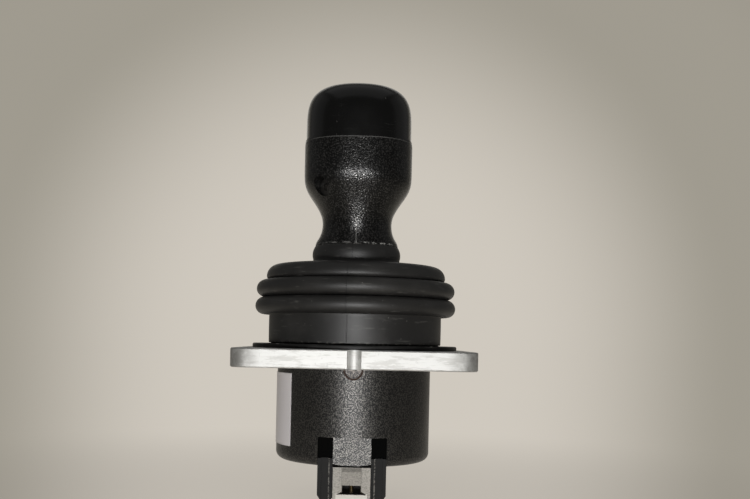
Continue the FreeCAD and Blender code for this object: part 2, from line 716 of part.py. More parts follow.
def coil_spring(start):
    """Centring spring about the X axis: a short coil whose two legs hang down astride the tabs."""
    step = COIL_PITCH / 2
    foot = PIVOT_Z - SPRING_LEG
    x = start + WIRE_R + SLIP
    side = -1
    pieces = [rod(WIRE_R, vec(x, side * COIL_R, foot), vec(x, side * COIL_R, PIVOT_Z))]
    for _ in range(COIL_HALF_TURNS):
        section = Part.Wire(Part.Circle(vec(x, side * COIL_R, PIVOT_Z), vec(0, 0, 1), WIRE_R).toShape())
        middle = vec(x + step / 2, 0, PIVOT_Z)
        axis = vec(-2 * COIL_R, -side * step, 0)
        pieces.append(Part.Face(section).revolve(middle, axis, 180))
        x += step
        side = -side
    pieces.append(rod(WIRE_R, vec(x, side * COIL_R, foot), vec(x, side * COIL_R, PIVOT_Z)))
    return pieces[0].fuse(pieces[1:])


def gimbal_springs():
    return Part.makeCompound(pattern(coil_spring(YOKE_R + SLIP), (0, 180)))


def lever_springs():
    return Part.makeCompound(pattern(coil_spring(HUB_FLAT + SLIP), (90, 270)))


def pivot_block():
    """Hub of the lever: bored for the cross pin, with a flat and a spring tab at each side."""
    hub = disc(HUB_R, HUB_LOW, HUB_HIGH)
    hub = hub.common(block(-HUB_R, HUB_R, -HUB_FLAT, HUB_FLAT, HUB_LOW, HUB_HIGH))
    stem = disc(STEM_R, HUB_LOW - STEM_LENGTH, HUB_LOW)
    reach = YOKE_BORE_R - TAB_END_GAP
    tab_top = MOVING_TAB_Z + TAB_THICK
    tab = block(HUB_FLAT - TAB_ROOT, reach, -TAB_HALF, TAB_HALF, MOVING_TAB_Z, tab_top)
    body = fused([hub, stem] + pattern(tab, (90, 270)))
    cross_hole = rod(PIN_R, vec(0, -YOKE_R, PIVOT_Z), vec(0, YOKE_R, PIVOT_Z))
    return drilled(body, [cross_hole, disc(SHAFT_R, SHAFT_LOW, HUB_HIGH)])


def lever_pivot_pin():
    end = YOKE_R + PIN_STANDOUT
    pin = rod(PIN_R, vec(0, -end, PIVOT_Z), vec(0, end, PIVOT_Z))
    return pin.makeChamfer(PIN_CHAMFER, [edge for edge in pin.Edges if len(edge.Vertexes) == 1])


def lever_shaft():
    """Steel shaft from the pivot block to just above the insert in the grip."""
    shaft = disc(SHAFT_R, SHAFT_LOW, SHAFT_TOP)
    shaft = shaft.makeChamfer(SHAFT_CHAMFER, level_rims(shaft, SHAFT_TOP))
    groove = tube(SHAFT_R + CLIP_WIDTH, SHAFT_R - CLIP_GROOVE, COLLAR_Z - CLIP_THICK, COLLAR_Z)
    return shaft.cut(groove)


def shaft_lock_nut():
    """Nut that locks the shaft in the pivot block, with its top corners turned off."""
    top = HUB_HIGH + NUT_HEIGHT
    dome = Part.makeCone(NUT_FLATS * 0.8, NUT_FLATS * 0.43, NUT_HEIGHT * 1.2, vec(0, 0, HUB_HIGH))
    return hexagon(NUT_FLATS, HUB_HIGH, top).common(dome).cut(disc(SHAFT_R, HUB_HIGH, top))


def magnet_holder():
    """Moulded cup that carries the magnet at the lower end of the lever."""
    holder = disc(HUB_FLAT - SLIP, MAGNET_Z, HUB_LOW)
    socket = disc(STEM_R, HUB_LOW - STEM_LENGTH, HUB_LOW)
    return drilled(holder, [socket, sensor_magnet()])


def sensor_magnet():
    return disc(MAGNET_R, MAGNET_Z, MAGNET_Z + MAGNET_LENGTH)


def board_screw_places():
    reach = BOARD_R * 0.78
    angles = [math.radians(degrees) for degrees in (90, 198, 342)]
    return [(reach * math.cos(angle), reach * math.sin(angle)) for angle in angles]


def circuit_board():
    """Round board with a tab forward to the connector's contacts."""
    board = disc(BOARD_R, BOARD_Z, BOARD_TOP)
    tab = centred(CORE_WIDTH + 2 * BOARD_MARGIN, CORE_FRONT, -BOARD_R / 2, BOARD_Z, BOARD_TOP)
    board = fused([board, tab])
    cuts = [disc(BOARD_SCREW_R + SLIP, BOARD_Z, BOARD_TOP, x, y) for x, y in board_screw_places()]
    cuts += [disc(CONTACT_R, BOARD_Z, BOARD_TOP, x, y) for x, y in contact_places()]
    return drilled(board, cuts)


def pan_screw(radius, under_head, length):
    """Pan-head screw, head up, with a driving slot."""
    reach = radius * PAN_HEAD_RATIO
    top = under_head + radius * 1.2
    head = disc(reach, under_head, top)
    head = head.makeFillet(radius * 0.5, level_rims(head, top))
    slot = block(-reach, reach, -radius * 0.2, radius * 0.2, top - radius * 0.6, top)
    return fused([head.cut(slot), disc(radius, under_head - length, under_head)])


def board_screws():
    screw = pan_screw(BOARD_SCREW_R, BOARD_TOP, BOARD_THICK + BOARD_LIFT - SCREW_TIP_GAP)
    return Part.makeCompound([moved(screw, x, y) for x, y in board_screw_places()])


def hall_sensor():
    half = SENSOR_SIZE / 2
    return block(-half, half, -half * 0.8, half * 0.8, BOARD_TOP, BOARD_TOP + SENSOR_THICK)


def chip(x, y, width, depth, height):
    """One part soldered on the board, on the board's grid."""
    grid = BOARD_GRID
    left = (x - width / 2) * grid
    near = (y - depth / 2) * grid
    return block(left, left + width * grid, near, near + depth * grid, BOARD_TOP, BOARD_TOP + height * grid)


def board_components():
    """Regulator, driver, two capacitors and two resistors round the sensor."""
    return Part.makeCompound(
        [
            chip(9, 4, 3.2, 2.6, 1.2),
            chip(-9, 3, 4.0, 3.6, 1.5),
            chip(9, -3, 2.0, 1.2, 0.8),
            chip(-8, -4, 2.0, 1.2, 0.8),
            chip(3, 9, 1.6, 0.8, 0.6),
            chip(-3, 9, 1.6, 0.8, 0.6),
        ]
    )


def contact_places():
    return [
        (column * CONTACT_PITCH, CORE_Y + row * CONTACT_PITCH / 2)
        for column in (-1, 0, 1)
        for row in (-1, 1)
    ]


def connector_pins():
    """Six contacts from the connector's socket up through the board."""
    low = HEADER_END + CONTACT_RECESS
    pins = []
    for x, y in contact_places():
        pin = disc(CONTACT_R, low, BOARD_TOP + CONTACT_STANDOUT, x, y)
        pins.append(pin.makeChamfer(CONTACT_R * 0.5, level_rims(pin, low)))
    return Part.makeCompound(pins)


def header_screw_places():
    reach = HEADER_WIDTH / 2 - HEADER_SCREW_INSET
    back = HEADER_BACK + HEADER_SCREW_R + HEADER_SCREW_GAP
    return [(-reach, back), (reach, back)]


def header_rail():
    """One guide rail: outer rib, groove and inner wall, tapered at its free end."""
    inner = TONGUE_WIDTH / 2 + SLIP
    outer = HEADER_WIDTH / 2
    top = HEADER_TOP + RAIL_RISE
    low = top - RAIL_LENGTH
    front = HEADER_FRONT + RAIL_SETBACK
    depth = SHROUD_FRONT - front
    profile = Part.makePolygon(
        [
            vec(inner, front, top),
            vec(outer, front, top),
            vec(outer, front, low + RAIL_TIP),
            vec(outer - RAIL_TIP_IN, front, low),
            vec(inner + RAIL_TIP_BREAK, front, low),
            vec(inner, front, low + 2 * RAIL_TIP_BREAK),
            vec(inner, front, top),
        ]
    )
    rail = Part.Face(profile).extrude(vec(0, depth, 0))
    return rail.cut(block(inner + RAIL_INNER, outer - RAIL_RIB, front, front + depth * 0.6, low, top))


def connector_header():
    """Moulded connector body: base with its core, open shroud, two rails and the latch ramp."""
    half = HEADER_WIDTH / 2 - RAIL_RIB
    shroud = block(-half, half, SHROUD_FRONT, HEADER_BACK, HEADER_END, HEADER_TOP)
    rear = [edge for edge in uprights(shroud) if edge.BoundBox.YMin > HEADER_BACK - TOUCH]
    shroud = shroud.makeFillet(HEADER_CORNER_R, rear)
    face = centred(FRONT_WIDTH, HEADER_FRONT, SHROUD_FRONT, HEADER_END, HEADER_TOP)
    core = centred(CORE_WIDTH, CORE_FRONT, CORE_BACK, HEADER_TOP, CORE_TOP)
    pad = centred(PAD_WIDTH, HEADER_FRONT - PAD_PROUD, HEADER_FRONT, HEADER_END, WINDOW_LOW)
    lugs = []
    for x, y in header_screw_places():
        reach = HEADER_LUG_R
        lugs.append(disc(reach, HEADER_LOW_BASE, HEADER_TOP, x, y))
        lugs.append(block(x - reach, x + reach, HEADER_BACK - SHROUD_WALL, y, HEADER_LOW_BASE, HEADER_TOP))
    rail = header_rail()
    mirrored = rail.mirror(vec(0, 0, 0), vec(1, 0, 0))
    body = fused([shroud, face, core, pad, latch_ramp(), rail, mirrored] + lugs)
    room = 2 * (half - SHROUD_WALL)
    inside_front = HEADER_FRONT + HEADER_FRONT_WALL
    cuts = [centred(room, inside_front, HEADER_BACK - SHROUD_WALL, HEADER_END, HEADER_LOW_BASE)]
    cuts.append(latch_window())
    cuts += [disc(CONTACT_R, HEADER_LOW_BASE, CORE_TOP, x, y) for x, y in contact_places()]
    hole_r = HEADER_SCREW_R + SLIP
    cuts += [disc(hole_r, HEADER_LOW_BASE, HEADER_TOP, x, y) for x, y in header_screw_places()]
    cuts.append(gasket_ring(SLIP / 2))
    return drilled(body, cuts)


def latch_ramp():
    """Wedge that the mating plug's latch rides over."""
    left = -LATCH_WIDTH / 2
    profile = Part.makePolygon(
        [
            vec(left, HEADER_FRONT, LATCH_TOP),
            vec(left, HEADER_FRONT - LATCH_PROUD, LATCH_TOP - LATCH_LEAD),
            vec(left, HEADER_FRONT - LATCH_PROUD * 0.85, LATCH_LOW),
            vec(left, HEADER_FRONT, LATCH_LOW),
            vec(left, HEADER_FRONT, LATCH_TOP),
        ]
    )
    return Part.Face(profile).extrude(vec(LATCH_WIDTH, 0, 0))


def latch_window():
    """Opening below the ramp that flares towards its lower edge."""
    inner = LATCH_WIDTH / 2
    outer = PAD_WIDTH / 2
    front = HEADER_FRONT - LATCH_PROUD
    outline = Part.makePolygon(
        [
            vec(-inner, front, LATCH_LOW),
            vec(inner, front, LATCH_LOW),
            vec(inner, front, WINDOW_MID),
            vec(outer, front, WINDOW_LOW),
            vec(-outer, front, WINDOW_LOW),
            vec(-inner, front, WINDOW_MID),
            vec(-inner, front, LATCH_LOW),
        ]
    )
    return Part.Face(outline).extrude(vec(0, LATCH_PROUD + HEADER_FRONT_WALL + SLIP, 0))


def gasket_ring(gap):
    """Rectangular ring round the core, let into the top of the connector's base."""
    low = HEADER_TOP - GASKET_THICK
    near = GASKET_MARGIN - gap
    far = GASKET_MARGIN + GASKET_WIDTH + gap
    half = CORE_WIDTH / 2
    outer = centred(2 * (half + far), CORE_FRONT - far, CORE_BACK + far, low, HEADER_TOP)
    return outer.cut(centred(2 * (half + near), CORE_FRONT - near, CORE_BACK + near, low, HEADER_TOP))


def connector_seal():
    return gasket_ring(0.0)


def header_screws():
    screw = pan_screw(HEADER_SCREW_R, 0.0, HEADER_BASE + HOUSING_WALL + HEADER_SCREW_BITE)
    screw.rotate(vec(0, 0, 0), vec(1, 0, 0), 180)
    return Part.makeCompound([moved(screw, x, y, HEADER_LOW_BASE) for x, y in header_screw_places()])


def oval_poles(z, half_width, front, back, squareness):
    """Control points of a closed outline between an ellipse and a rounded rectangle."""
    step = 2 * math.pi / OVAL_POLES
    grow = 3 / (2 + math.cos(step))
    poles = []
    for index in range(OVAL_POLES):
        c = math.cos(step * index)
        s = math.sin(step * index)
        reach = grow * (abs(c) ** squareness + abs(s) ** squareness) ** (-1 / squareness)
        poles.append(vec(half_width * reach * c, (back if s > 0 else front) * reach * s, z))
    return poles


def oval(z, half_width, front, back, squareness):
    """Flat face inside one such outline."""
    curve = Part.BSplineCurve()
    knots = list(range(OVAL_POLES + 1))
    poles = oval_poles(z, half_width, front, back, squareness)
    curve.buildFromPolesMultsKnots(poles, [1] * len(knots), knots, True, 3)
    return Part.Face(Part.Wire(curve.toShape()))


def skinned(sections):
    """Solid whose side is one smooth surface shaped by a stack of outlines."""
    rows = [oval_poles(*section) for section in sections]
    poles = [[row[index] for row in rows] for index in range(OVAL_POLES)]
    around = list(range(OVAL_POLES + 1))
    spans = len(rows) - 3
    up = list(range(spans + 1))
    up_counts = [4] + [1] * (spans - 1) + [4]
    surface = Part.BSplineSurface()
    surface.buildFromPolesMultsKnots(poles, [1] * len(around), up_counts, around, up, True, False, 3, 3)
    shell = Part.Shell([surface.toShape(), oval(*sections[0]), oval(*sections[-1])])
    solid = Part.Solid(shell)
    if solid.Volume < 0:
        solid.reverse()
    return solid


# Height, flare of the foot, swell at the sides and to the front, as shares of their range, and squareness
GRIP_STATIONS = (
    (0.0, 1.04, 0.0, 0.0, 2.0),
    (0.028, 1.0, 0.0, 0.0, 2.0),
    (0.068, 0.56, 0.0, 0.1, 2.0),
    (0.131, 0.13, 0.0, 0.2, 2.0),
    (0.207, -0.03, 0.0, 0.28, 2.05),
    (0.282, 0.0, 0.02, 0.36, 2.15),
    (0.358, 0.0, 0.19, 0.46, 2.3),
    (0.446, 0.0, 0.485, 0.6, 2.45),
    (0.534, 0.0, 0.815, 0.77, 2.6),
    (0.61, 0.0, 0.975, 0.92, 2.7),
    (0.685, 0.0, 1.0, 1.0, 2.7),
    (0.773, 0.0, 1.0, 1.0, 2.7),
    (0.874, 0.0, 1.0, 1.0, 2.7),
    (0.95, 0.0, 1.0, 1.0, 2.7),
    (1.0, 0.0, 1.0, 1.0, 2.7),
)

# Height and width of the cap, each as a share of its range, and squareness
CAP_STATIONS = (
    (0.0, 1.0, 2.7),
    (0.17, 1.0, 2.7),
    (0.35, 1.0, 2.68),
    (0.51, 0.996, 2.63),
    (0.65, 0.974, 2.55),
    (0.78, 0.914, 2.45),
    (0.89, 0.797, 2.35),
    (0.965, 0.607, 2.25),
    (1.0, 0.36, 2.15),
    (1.0, 0.135, 2.15),
)


def grip_form(inset):
    """The grip's outer form, drawn in by an inset."""
    rise = GRIP_SEAM_Z - BOOT_TOP
    flare = GRIP_FOOT_R - GRIP_WAIST_R
    wide = GRIP_HALF_WIDTH - GRIP_WAIST_R
    deep = GRIP_HALF_DEPTH - GRIP_WAIST_R
    sections = []
    for height, foot, side, ahead, square in GRIP_STATIONS:
        neck = GRIP_WAIST_R + flare * foot - inset
        place = BOOT_TOP + rise * height
        sections.append((place, neck + wide * side, neck + deep * ahead, neck + deep * side, square))
    return skinned(sections)


def clamp_direction():
    angle = math.radians(270 - CLAMP_HOLE_DEG)
    return vec(math.cos(angle), math.sin(angle), 0)


def clamp_rod(radius, start, end):
    """Cylinder along the radial hole of the clamp screw."""
    run = clamp_direction()
    centre = vec(0, 0, CLAMP_HOLE_Z)
    return rod(radius, centre.add(run * start), centre.add(run * end))


def grip_body():
    """Hollow grip with its boss for the insert and the access hole of the clamp screw."""
    shell = grip_form(0.0)
    half = PLATE_SIDE / 2
    room = block(-half, half, -half, half, BOOT_TOP + GRIP_FLOOR, GRIP_SEAM_Z)
    hollow = grip_form(GRIP_WALL).common(room)
    root = BOOT_TOP + GRIP_FLOOR / 2
    boss = disc(GRIP_BOSS_R, root, INSERT_TOP)
    sleeve = clamp_rod(CLAMP_HOLE_R + SLEEVE_WALL, INSERT_R + SOFT_GAP, half)
    keep = fused([boss, sleeve.common(shell)])
    fin_half = FIN_THICK / 2
    fin = block(-fin_half, fin_half, -half, half, root, INSERT_TOP - INSERT_BASE)
    fins = fin.fuse(turned(fin, 90)).common(shell)
    grip = shell.cut(hollow.cut(fused([keep, fins])))
    cuts = [disc(SHAFT_R + SLIP / 2, BOOT_TOP, INSERT_LOW), disc(INSERT_R, INSERT_LOW, INSERT_TOP)]
    cuts.append(clamp_rod(CLAMP_HOLE_R, CLAMP_HEAD_AT, half))
    cuts.append(clamp_rod(CLAMP_SHANK_R + SLIP, INSERT_R - SOFT_GAP, CLAMP_HEAD_AT))
    return drilled(grip, cuts)


def grip_insert():
    """Metal sleeve moulded in the grip's boss; it fits the shaft."""
    sleeve = tube(INSERT_R, SHAFT_R + RUNNING, INSERT_LOW, INSERT_TOP)
    return sleeve.cut(clamp_rod(CLAMP_SHANK_R, 0, INSERT_R + SOFT_GAP))


def grip_clamp_screw():
    """Socket screw that clamps the grip to the shaft through the insert."""
    shank = clamp_rod(CLAMP_SHANK_R, SHAFT_R + SLIP, CLAMP_HEAD_AT)
    head = clamp_rod(CLAMP_HEAD_R, CLAMP_HEAD_AT, CLAMP_HEAD_AT + CLAMP_HEAD_LENGTH)
    socket = hexagon(CLAMP_HEAD_R * 0.9, 0, CLAMP_HEAD_LENGTH)
    socket.rotate(vec(0, 0, 0), vec(0, 1, 0), 90)
    socket.rotate(vec(0, 0, 0), vec(0, 0, 1), 270 - CLAMP_HOLE_DEG)
    away = CLAMP_HEAD_AT + CLAMP_HEAD_LENGTH * 0.45
    socket.translate(vec(0, 0, CLAMP_HOLE_Z).add(clamp_direction() * away))
    return fused([shank, head]).cut(socket)


def cap_dome(inset, low):
    """Domed form of the cap, from its lower edge to the crown."""
    wide = GRIP_HALF_WIDTH - CAP_STEP - inset
    deep = GRIP_HALF_DEPTH - CAP_STEP - inset
    rise = GRIP_TOP_Z - inset - low
    return skinned([(low + rise * h, wide * w, deep * w, deep * w, n) for h, w, n in CAP_STATIONS])


def cap_prism(inset, low, high):
    """Upright prism with the grip's own outline at its seam, drawn in by an inset."""
    deep = GRIP_HALF_DEPTH - inset
    return oval(low, GRIP_HALF_WIDTH - inset, deep, deep, CAP_STATIONS[0][2]).extrude(vec(0, 0, high - low))


def grip_cap():
    """Smooth cap with a proud lip, a spigot that enters the grip and a hollow crown."""
    low = GRIP_SEAM_Z - CAP_SPIGOT
    lip_top = GRIP_SEAM_Z + CAP_LIP
    lip = cap_prism(SLIP, GRIP_SEAM_Z, lip_top)
    spigot = cap_prism(GRIP_WALL + SLIP, low, lip_top)
    cap = fused([cap_dome(0.0, GRIP_SEAM_Z), lip, spigot])
    inset = GRIP_WALL + SLIP + CAP_WALL - CAP_STEP
    return cap.cut(cap_prism(inset, low, lip_top)).cut(cap_dome(inset - CAP_STEP, lip_top))


NODES = (
    mounting_plate,
    boot_retaining_ring,
    ring_screws,
    gate_plate,
    gate_screws,
    boot,
    boot_hub,
    hub_clip,
    lower_housing,
    housing_seal,
    housing_screws,
    identification_label,
    gimbal_carrier,
    carrier_bushes,
    gimbal_ring,
    gimbal_pins,
    gimbal_springs,
    lever_bushes,
    lever_pivot_pin,
    lever_springs,
    pivot_block,
    lever_shaft,
    shaft_lock_nut,
    magnet_holder,
    sensor_magnet,
    circuit_board,
    board_screws,
    hall_sensor,
    board_components,
    connector_header,
    connector_pins,
    connector_seal,
    header_screws,
    grip_body,
    grip_insert,
    grip_clamp_screw,
    grip_cap,
)

os.makedirs("parts", exist_ok=True)
for make in NODES:
    make().exportStep("parts/" + make.__name__ + ".step")
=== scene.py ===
"""Looks of a two-axis hand joystick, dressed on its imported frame.

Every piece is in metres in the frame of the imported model: Z runs up the lever, X to the right
in the front view and Y away from the viewer.
"""

import json
import logging
import math
from dataclasses import dataclass
from enum import Enum
from typing import Any, Mapping, Sequence

import bmesh
import bpy
import numpy as np
from mathutils import Matrix, Vector


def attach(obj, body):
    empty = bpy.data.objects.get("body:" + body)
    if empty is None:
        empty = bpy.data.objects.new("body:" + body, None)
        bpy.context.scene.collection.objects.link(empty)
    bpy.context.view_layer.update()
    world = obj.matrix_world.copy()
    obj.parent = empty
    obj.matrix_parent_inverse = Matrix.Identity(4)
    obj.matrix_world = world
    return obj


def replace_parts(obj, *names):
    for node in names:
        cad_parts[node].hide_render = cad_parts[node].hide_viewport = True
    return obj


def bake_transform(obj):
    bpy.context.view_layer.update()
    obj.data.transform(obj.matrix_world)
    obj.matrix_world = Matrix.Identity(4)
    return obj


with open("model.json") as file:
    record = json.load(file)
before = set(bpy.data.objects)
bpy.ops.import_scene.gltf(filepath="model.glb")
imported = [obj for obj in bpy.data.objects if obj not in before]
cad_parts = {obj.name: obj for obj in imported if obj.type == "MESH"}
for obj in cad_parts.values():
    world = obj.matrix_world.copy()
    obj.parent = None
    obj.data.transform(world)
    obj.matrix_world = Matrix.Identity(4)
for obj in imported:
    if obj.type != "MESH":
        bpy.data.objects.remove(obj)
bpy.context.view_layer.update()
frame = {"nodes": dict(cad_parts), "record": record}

log = logging.getLogger("joystick")

MM = 0.001
Triple = tuple[float, float, float]
Colour = Triple
Point = tuple[float, float]
Band = tuple[float, float]


class Body(Enum):
    """The rigid bodies of the joystick."""

    BASE = "base"
    GIMBAL = "gimbal"
    LEVER = "lever"


# ---- numbers and nodes of a material


@dataclass(frozen=True)
class Flow:
    """A number that varies over a surface: one output socket, used with ordinary arithmetic."""

    graph: "Graph"
    socket: bpy.types.NodeSocket

    def __add__(self, other: "Number") -> "Flow":
        """Sum."""
        return self.graph.math("ADD", self, other)

    def __radd__(self, other: "Number") -> "Flow":
        """Sum, with the plain number first."""
        return self.graph.math("ADD", other, self)

    def __sub__(self, other: "Number") -> "Flow":
        """Difference."""
        return self.graph.math("SUBTRACT", self, other)

    def __rsub__(self, other: "Number") -> "Flow":
        """Difference, with the plain number first."""
        return self.graph.math("SUBTRACT", other, self)

    def __mul__(self, other: "Number") -> "Flow":
        """Product."""
        return self.graph.math("MULTIPLY", self, other)

    def __truediv__(self, other: "Number") -> "Flow":
        """Quotient."""
        return self.graph.math("DIVIDE", self, other)

    def __pow__(self, other: "Number") -> "Flow":
        """Power of a number that is not negative."""
        return self.graph.math("POWER", self, other)

    def __abs__(self) -> "Flow":
        """Size without its sign."""
        return self.graph.math("ABSOLUTE", self)

    def most(self, other: "Number") -> "Flow":
        """The larger of the two."""
        return self.graph.math("MAXIMUM", self, other)

    def least(self, other: "Number") -> "Flow":
        """The smaller of the two."""
        return self.graph.math("MINIMUM", self, other)

    def rise(self, low: float, high: float) -> "Flow":
        """Smooth step: 0 at low, 1 at high, or falling where low is above high.

        Args:
            low: Value at which the step is 0.
            high: Value at which it is 1.

        Returns:
            The stepped number, from 0 to 1.
        """
        ends = {"From Min": min(low, high), "From Max": max(low, high)}
        ends |= {"To Min": float(low > high), "To Max": float(low < high)}
        settings = {"interpolation_type": "SMOOTHSTEP"}
        node = self.graph.node("ShaderNodeMapRange", settings, {"Value": self, **ends})
        return Flow(self.graph, node.outputs["Result"])


Number = Flow | float


class Graph:
    """Builds the nodes of one material, or of the world."""

    def __init__(self, name: str, world: bpy.types.World | None = None) -> None:
        """Starts an empty material of that name, or empties the world that is given.

        Args:
            name: Name of the material.
            world: World whose nodes are built instead.
        """
        self.material = world or bpy.data.materials.new(name)
        self.material.use_nodes = True
        self.tree = self.material.node_tree
        self.tree.nodes.clear()
        self.where = self.node("ShaderNodeTexCoord", {}, {})

    def node(
        self, kind: str, settings: Mapping[str, Any], sockets: Mapping[Any, Any]
    ) -> bpy.types.Node:
        """Adds one node.

        Args:
            kind: The node's type.
            settings: Its properties, such as an operation.
            sockets: Values or links of its inputs, by name or index.

        Returns:
            The new node.
        """
        made = self.tree.nodes.new(kind)
        for key, value in settings.items():
            setattr(made, key, value)
        for key, value in sockets.items():
            source = value.socket if isinstance(value, Flow) else value
            if isinstance(source, bpy.types.NodeSocket):
                self.tree.links.new(source, made.inputs[key])
            else:
                made.inputs[key].default_value = source
        return made

    def math(self, operation: str, *values: Number) -> Flow:
        """One Math node on numbers or flows."""
        node = self.node("ShaderNodeMath", {"operation": operation}, dict(enumerate(values)))
        return Flow(self, node.outputs[0])

    def axes(self, source: str = "Object") -> tuple[Flow, Flow, Flow]:
        """The three parts of a coordinate: the object's own place, its UV or its normal."""
        node = self.node("ShaderNodeSeparateXYZ", {}, {0: self.where.outputs[source]})
        return tuple(Flow(self, socket) for socket in node.outputs)

    def noise(self, scale: float | Triple, detail: float = 3.0, rough: float = 0.5) -> Flow:
        """Cloudy noise from about 0.3 to 0.7, drawn out into lines where a scale is small.

        Args:
            scale: Waves per metre, or those along each axis.
            detail: Octaves added.
            rough: Share of the finer octaves.

        Returns:
            The noise.
        """
        place = self.where.outputs["Object"]
        if isinstance(scale, tuple):
            sockets = {"Vector": place, "Scale": scale}
            place, scale = self.node("ShaderNodeMapping", {}, sockets).outputs[0], 1.0
        sockets = {"Vector": place, "Scale": scale, "Detail": detail, "Roughness": rough}
        return Flow(self, self.node("ShaderNodeTexNoise", {}, sockets).outputs["Fac"])

    def scratches(self, scale: Triple, low: float, high: float) -> Flow:
        """Long thin marks: drawn-out noise, kept only where it is high."""
        return self.noise(scale, 2.0).rise(low, high)

    def cells(self, scale: float) -> Flow:
        """Distance to the nearest of many scattered points, in cells."""
        sockets = {"Vector": self.where.outputs["Object"], "Scale": scale}
        return Flow(self, self.node("ShaderNodeTexVoronoi", {}, sockets).outputs["Distance"])

    def mix(self, factor: Number, first: Any, second: Any) -> bpy.types.NodeSocket:
        """Colour between two.

        Args:
            factor: Share of the second, from 0 to 1.
            first: A colour or a link.
            second: Another.

        Returns:
            The mixed colour.
        """
        both = [(*c, 1.0) if isinstance(c, tuple) else c for c in (first, second)]
        sockets = {0: factor, 6: both[0], 7: both[1]}
        return self.node("ShaderNodeMix", {"data_type": "RGBA"}, sockets).outputs[2]

    def bump(self, height: Flow, depth: float) -> bpy.types.NodeSocket:
        """Normal of a surface with relief.

        Args:
            height: Relief from 0 to 1.
            depth: What a height of 1 stands for, in metres.

        Returns:
            The normal.
        """
        sockets = {"Height": height, "Distance": depth, "Strength": 1.0}
        return self.node("ShaderNodeBump", {}, sockets).outputs["Normal"]

    def finish(self, **values: Any) -> bpy.types.Material:
        """Closes the material with a shader.

        Args:
            values: Socket names of the shader with underscores for spaces, and their values.

        Returns:
            The material.
        """
        sockets = {}
        for key, value in values.items():
            plain = isinstance(value, tuple)
            sockets[key.replace("_", " ")] = (*value, 1.0) if plain else value
        shader = self.node("ShaderNodeBsdfPrincipled", {}, sockets)
        self.node("ShaderNodeOutputMaterial", {}, {"Surface": shader.outputs[0]})
        return self.material


# ---- finishes


class Finish:
    """A finish that is built once and shared by the pieces that wear it."""

    name: str

    def build(self) -> bpy.types.Material:
        """Makes the material."""
        raise NotImplementedError

    def material(self) -> bpy.types.Material:
        """The finish's material, made the first time it is asked for."""
        return bpy.data.materials.get(self.name) or self.build()


@dataclass(frozen=True)
class PebbledGrip(Finish):
    """Moulded hand grip: glossy pebble grain, parting lines front and back, dusty foot."""

    name: str = "grip_rubber_finish"
    colour: Colour = (0.0020, 0.0020, 0.0019)
    lighter: Colour = (0.085, 0.083, 0.080)
    dust: Colour = (0.42, 0.41, 0.39)
    pebble: float = 0.60 * MM
    relief: float = 0.045 * MM
    line_x: float = -0.3 * MM
    line: float = 0.16 * MM
    foot: float = 48.3 * MM
    strong_line: Band = (10.0 * MM, 8.0 * MM)
    crumb_band: Band = (0.8 * MM, 0.3 * MM)
    crumb_side: Band = (-2.0 * MM, 4.0 * MM)

    def build(self) -> bpy.types.Material:
        """Domed pebbles from the distance to scattered points, roughened by finer noise.

        Returns:
            The material.
        """
        g = Graph(self.name)
        x, _, z = g.axes()
        fine = g.noise(2.2 / self.pebble, 2.0)
        dome = 1.0 - (g.cells(1.0 / self.pebble) * 1.35) ** 2.0
        broad = g.noise(70.0)
        above_foot = z - self.foot
        low = above_foot.rise(*self.strong_line)
        parting = abs(x - self.line_x).rise(self.line, self.line * 0.4)
        height = dome * 0.85 + fine * 0.3 + parting * (0.45 + low)
        crumbs = g.noise(900.0, 4.0, 0.7).rise(0.50, 0.60) * above_foot.rise(*self.crumb_band)
        crumbs = crumbs * (0.35 + x.rise(*self.crumb_side) * 0.65)
        fluff = g.cells(420.0).rise(0.075, 0.045) * g.noise(55.0).rise(0.5, 0.62)
        tops = g.noise(1.1 / self.pebble, 2.0, 0.6).rise(0.52, 0.62)
        tops = tops * (0.7 + broad.rise(0.4, 0.6) * 0.3)
        tone = g.mix(tops, self.colour, self.lighter)
        tone = g.mix(parting * low * 0.5, tone, self.dust)
        tone = g.mix((crumbs * 0.75).most(fluff * 0.35), tone, self.dust)
        return g.finish(
            Base_Color=tone,
            Metallic=tops,
            Roughness=0.27 + broad * 0.05 + crumbs * 0.3,
            Normal=g.bump(height, self.relief),
            Specular_IOR_Level=0.25,
        )


@dataclass(frozen=True)
class SatinCap(Finish):
    """Smooth moulded cap: fine satin skin, hairline scratches, a painted highlight along its lower
    lip.
    """

    name: str = "cap_plastic_finish"
    colour: Colour = (0.0016, 0.0016, 0.0016)
    pale_part: Colour = (0.060, 0.058, 0.055)
    dust: Colour = (0.3, 0.29, 0.27)
    lip: float = 88.0 * MM
    lip_height: float = 0.5 * MM
    relief: float = 0.008 * MM

    def build(self) -> bpy.types.Material:
        """Two sets of long thin noise bands for scratches over a very fine skin.

        Returns:
            The material.
        """
        g = Graph(self.name)
        z = g.axes()[2]
        skin = g.noise(5200.0, 2.0)
        level = g.scratches((160, 160, 3800), 0.62, 0.7)
        crossed = g.scratches((3200, 900, 140), 0.66, 0.74)
        scratches = level.most(crossed) * g.noise(60.0).rise(0.5, 0.66)
        # Painted highlight: a thin paler band along the lower lip, broken up by noise, where a
        # rounded lip would catch the lamp.
        edge = (z - self.lip).rise(self.lip_height, self.lip_height * 0.5)
        edge = edge * g.noise(130.0).rise(0.3, 0.5)
        specks = g.cells(300.0).rise(0.06, 0.03)
        # The paler colour is mostly the lip's painted highlight, and faintly the scratches.
        tone = g.mix(edge * 0.8 + scratches * 0.1, self.colour, self.pale_part)
        tone = g.mix(specks * 0.3, tone, self.dust)
        gloss = 0.20 + g.noise(90.0).rise(0.35, 0.7) * 0.05 + scratches * 0.10 + edge * 0.3
        normal = g.bump(skin + scratches * 0.5, self.relief)
        return g.finish(Base_Color=tone, Roughness=gloss, Normal=normal)


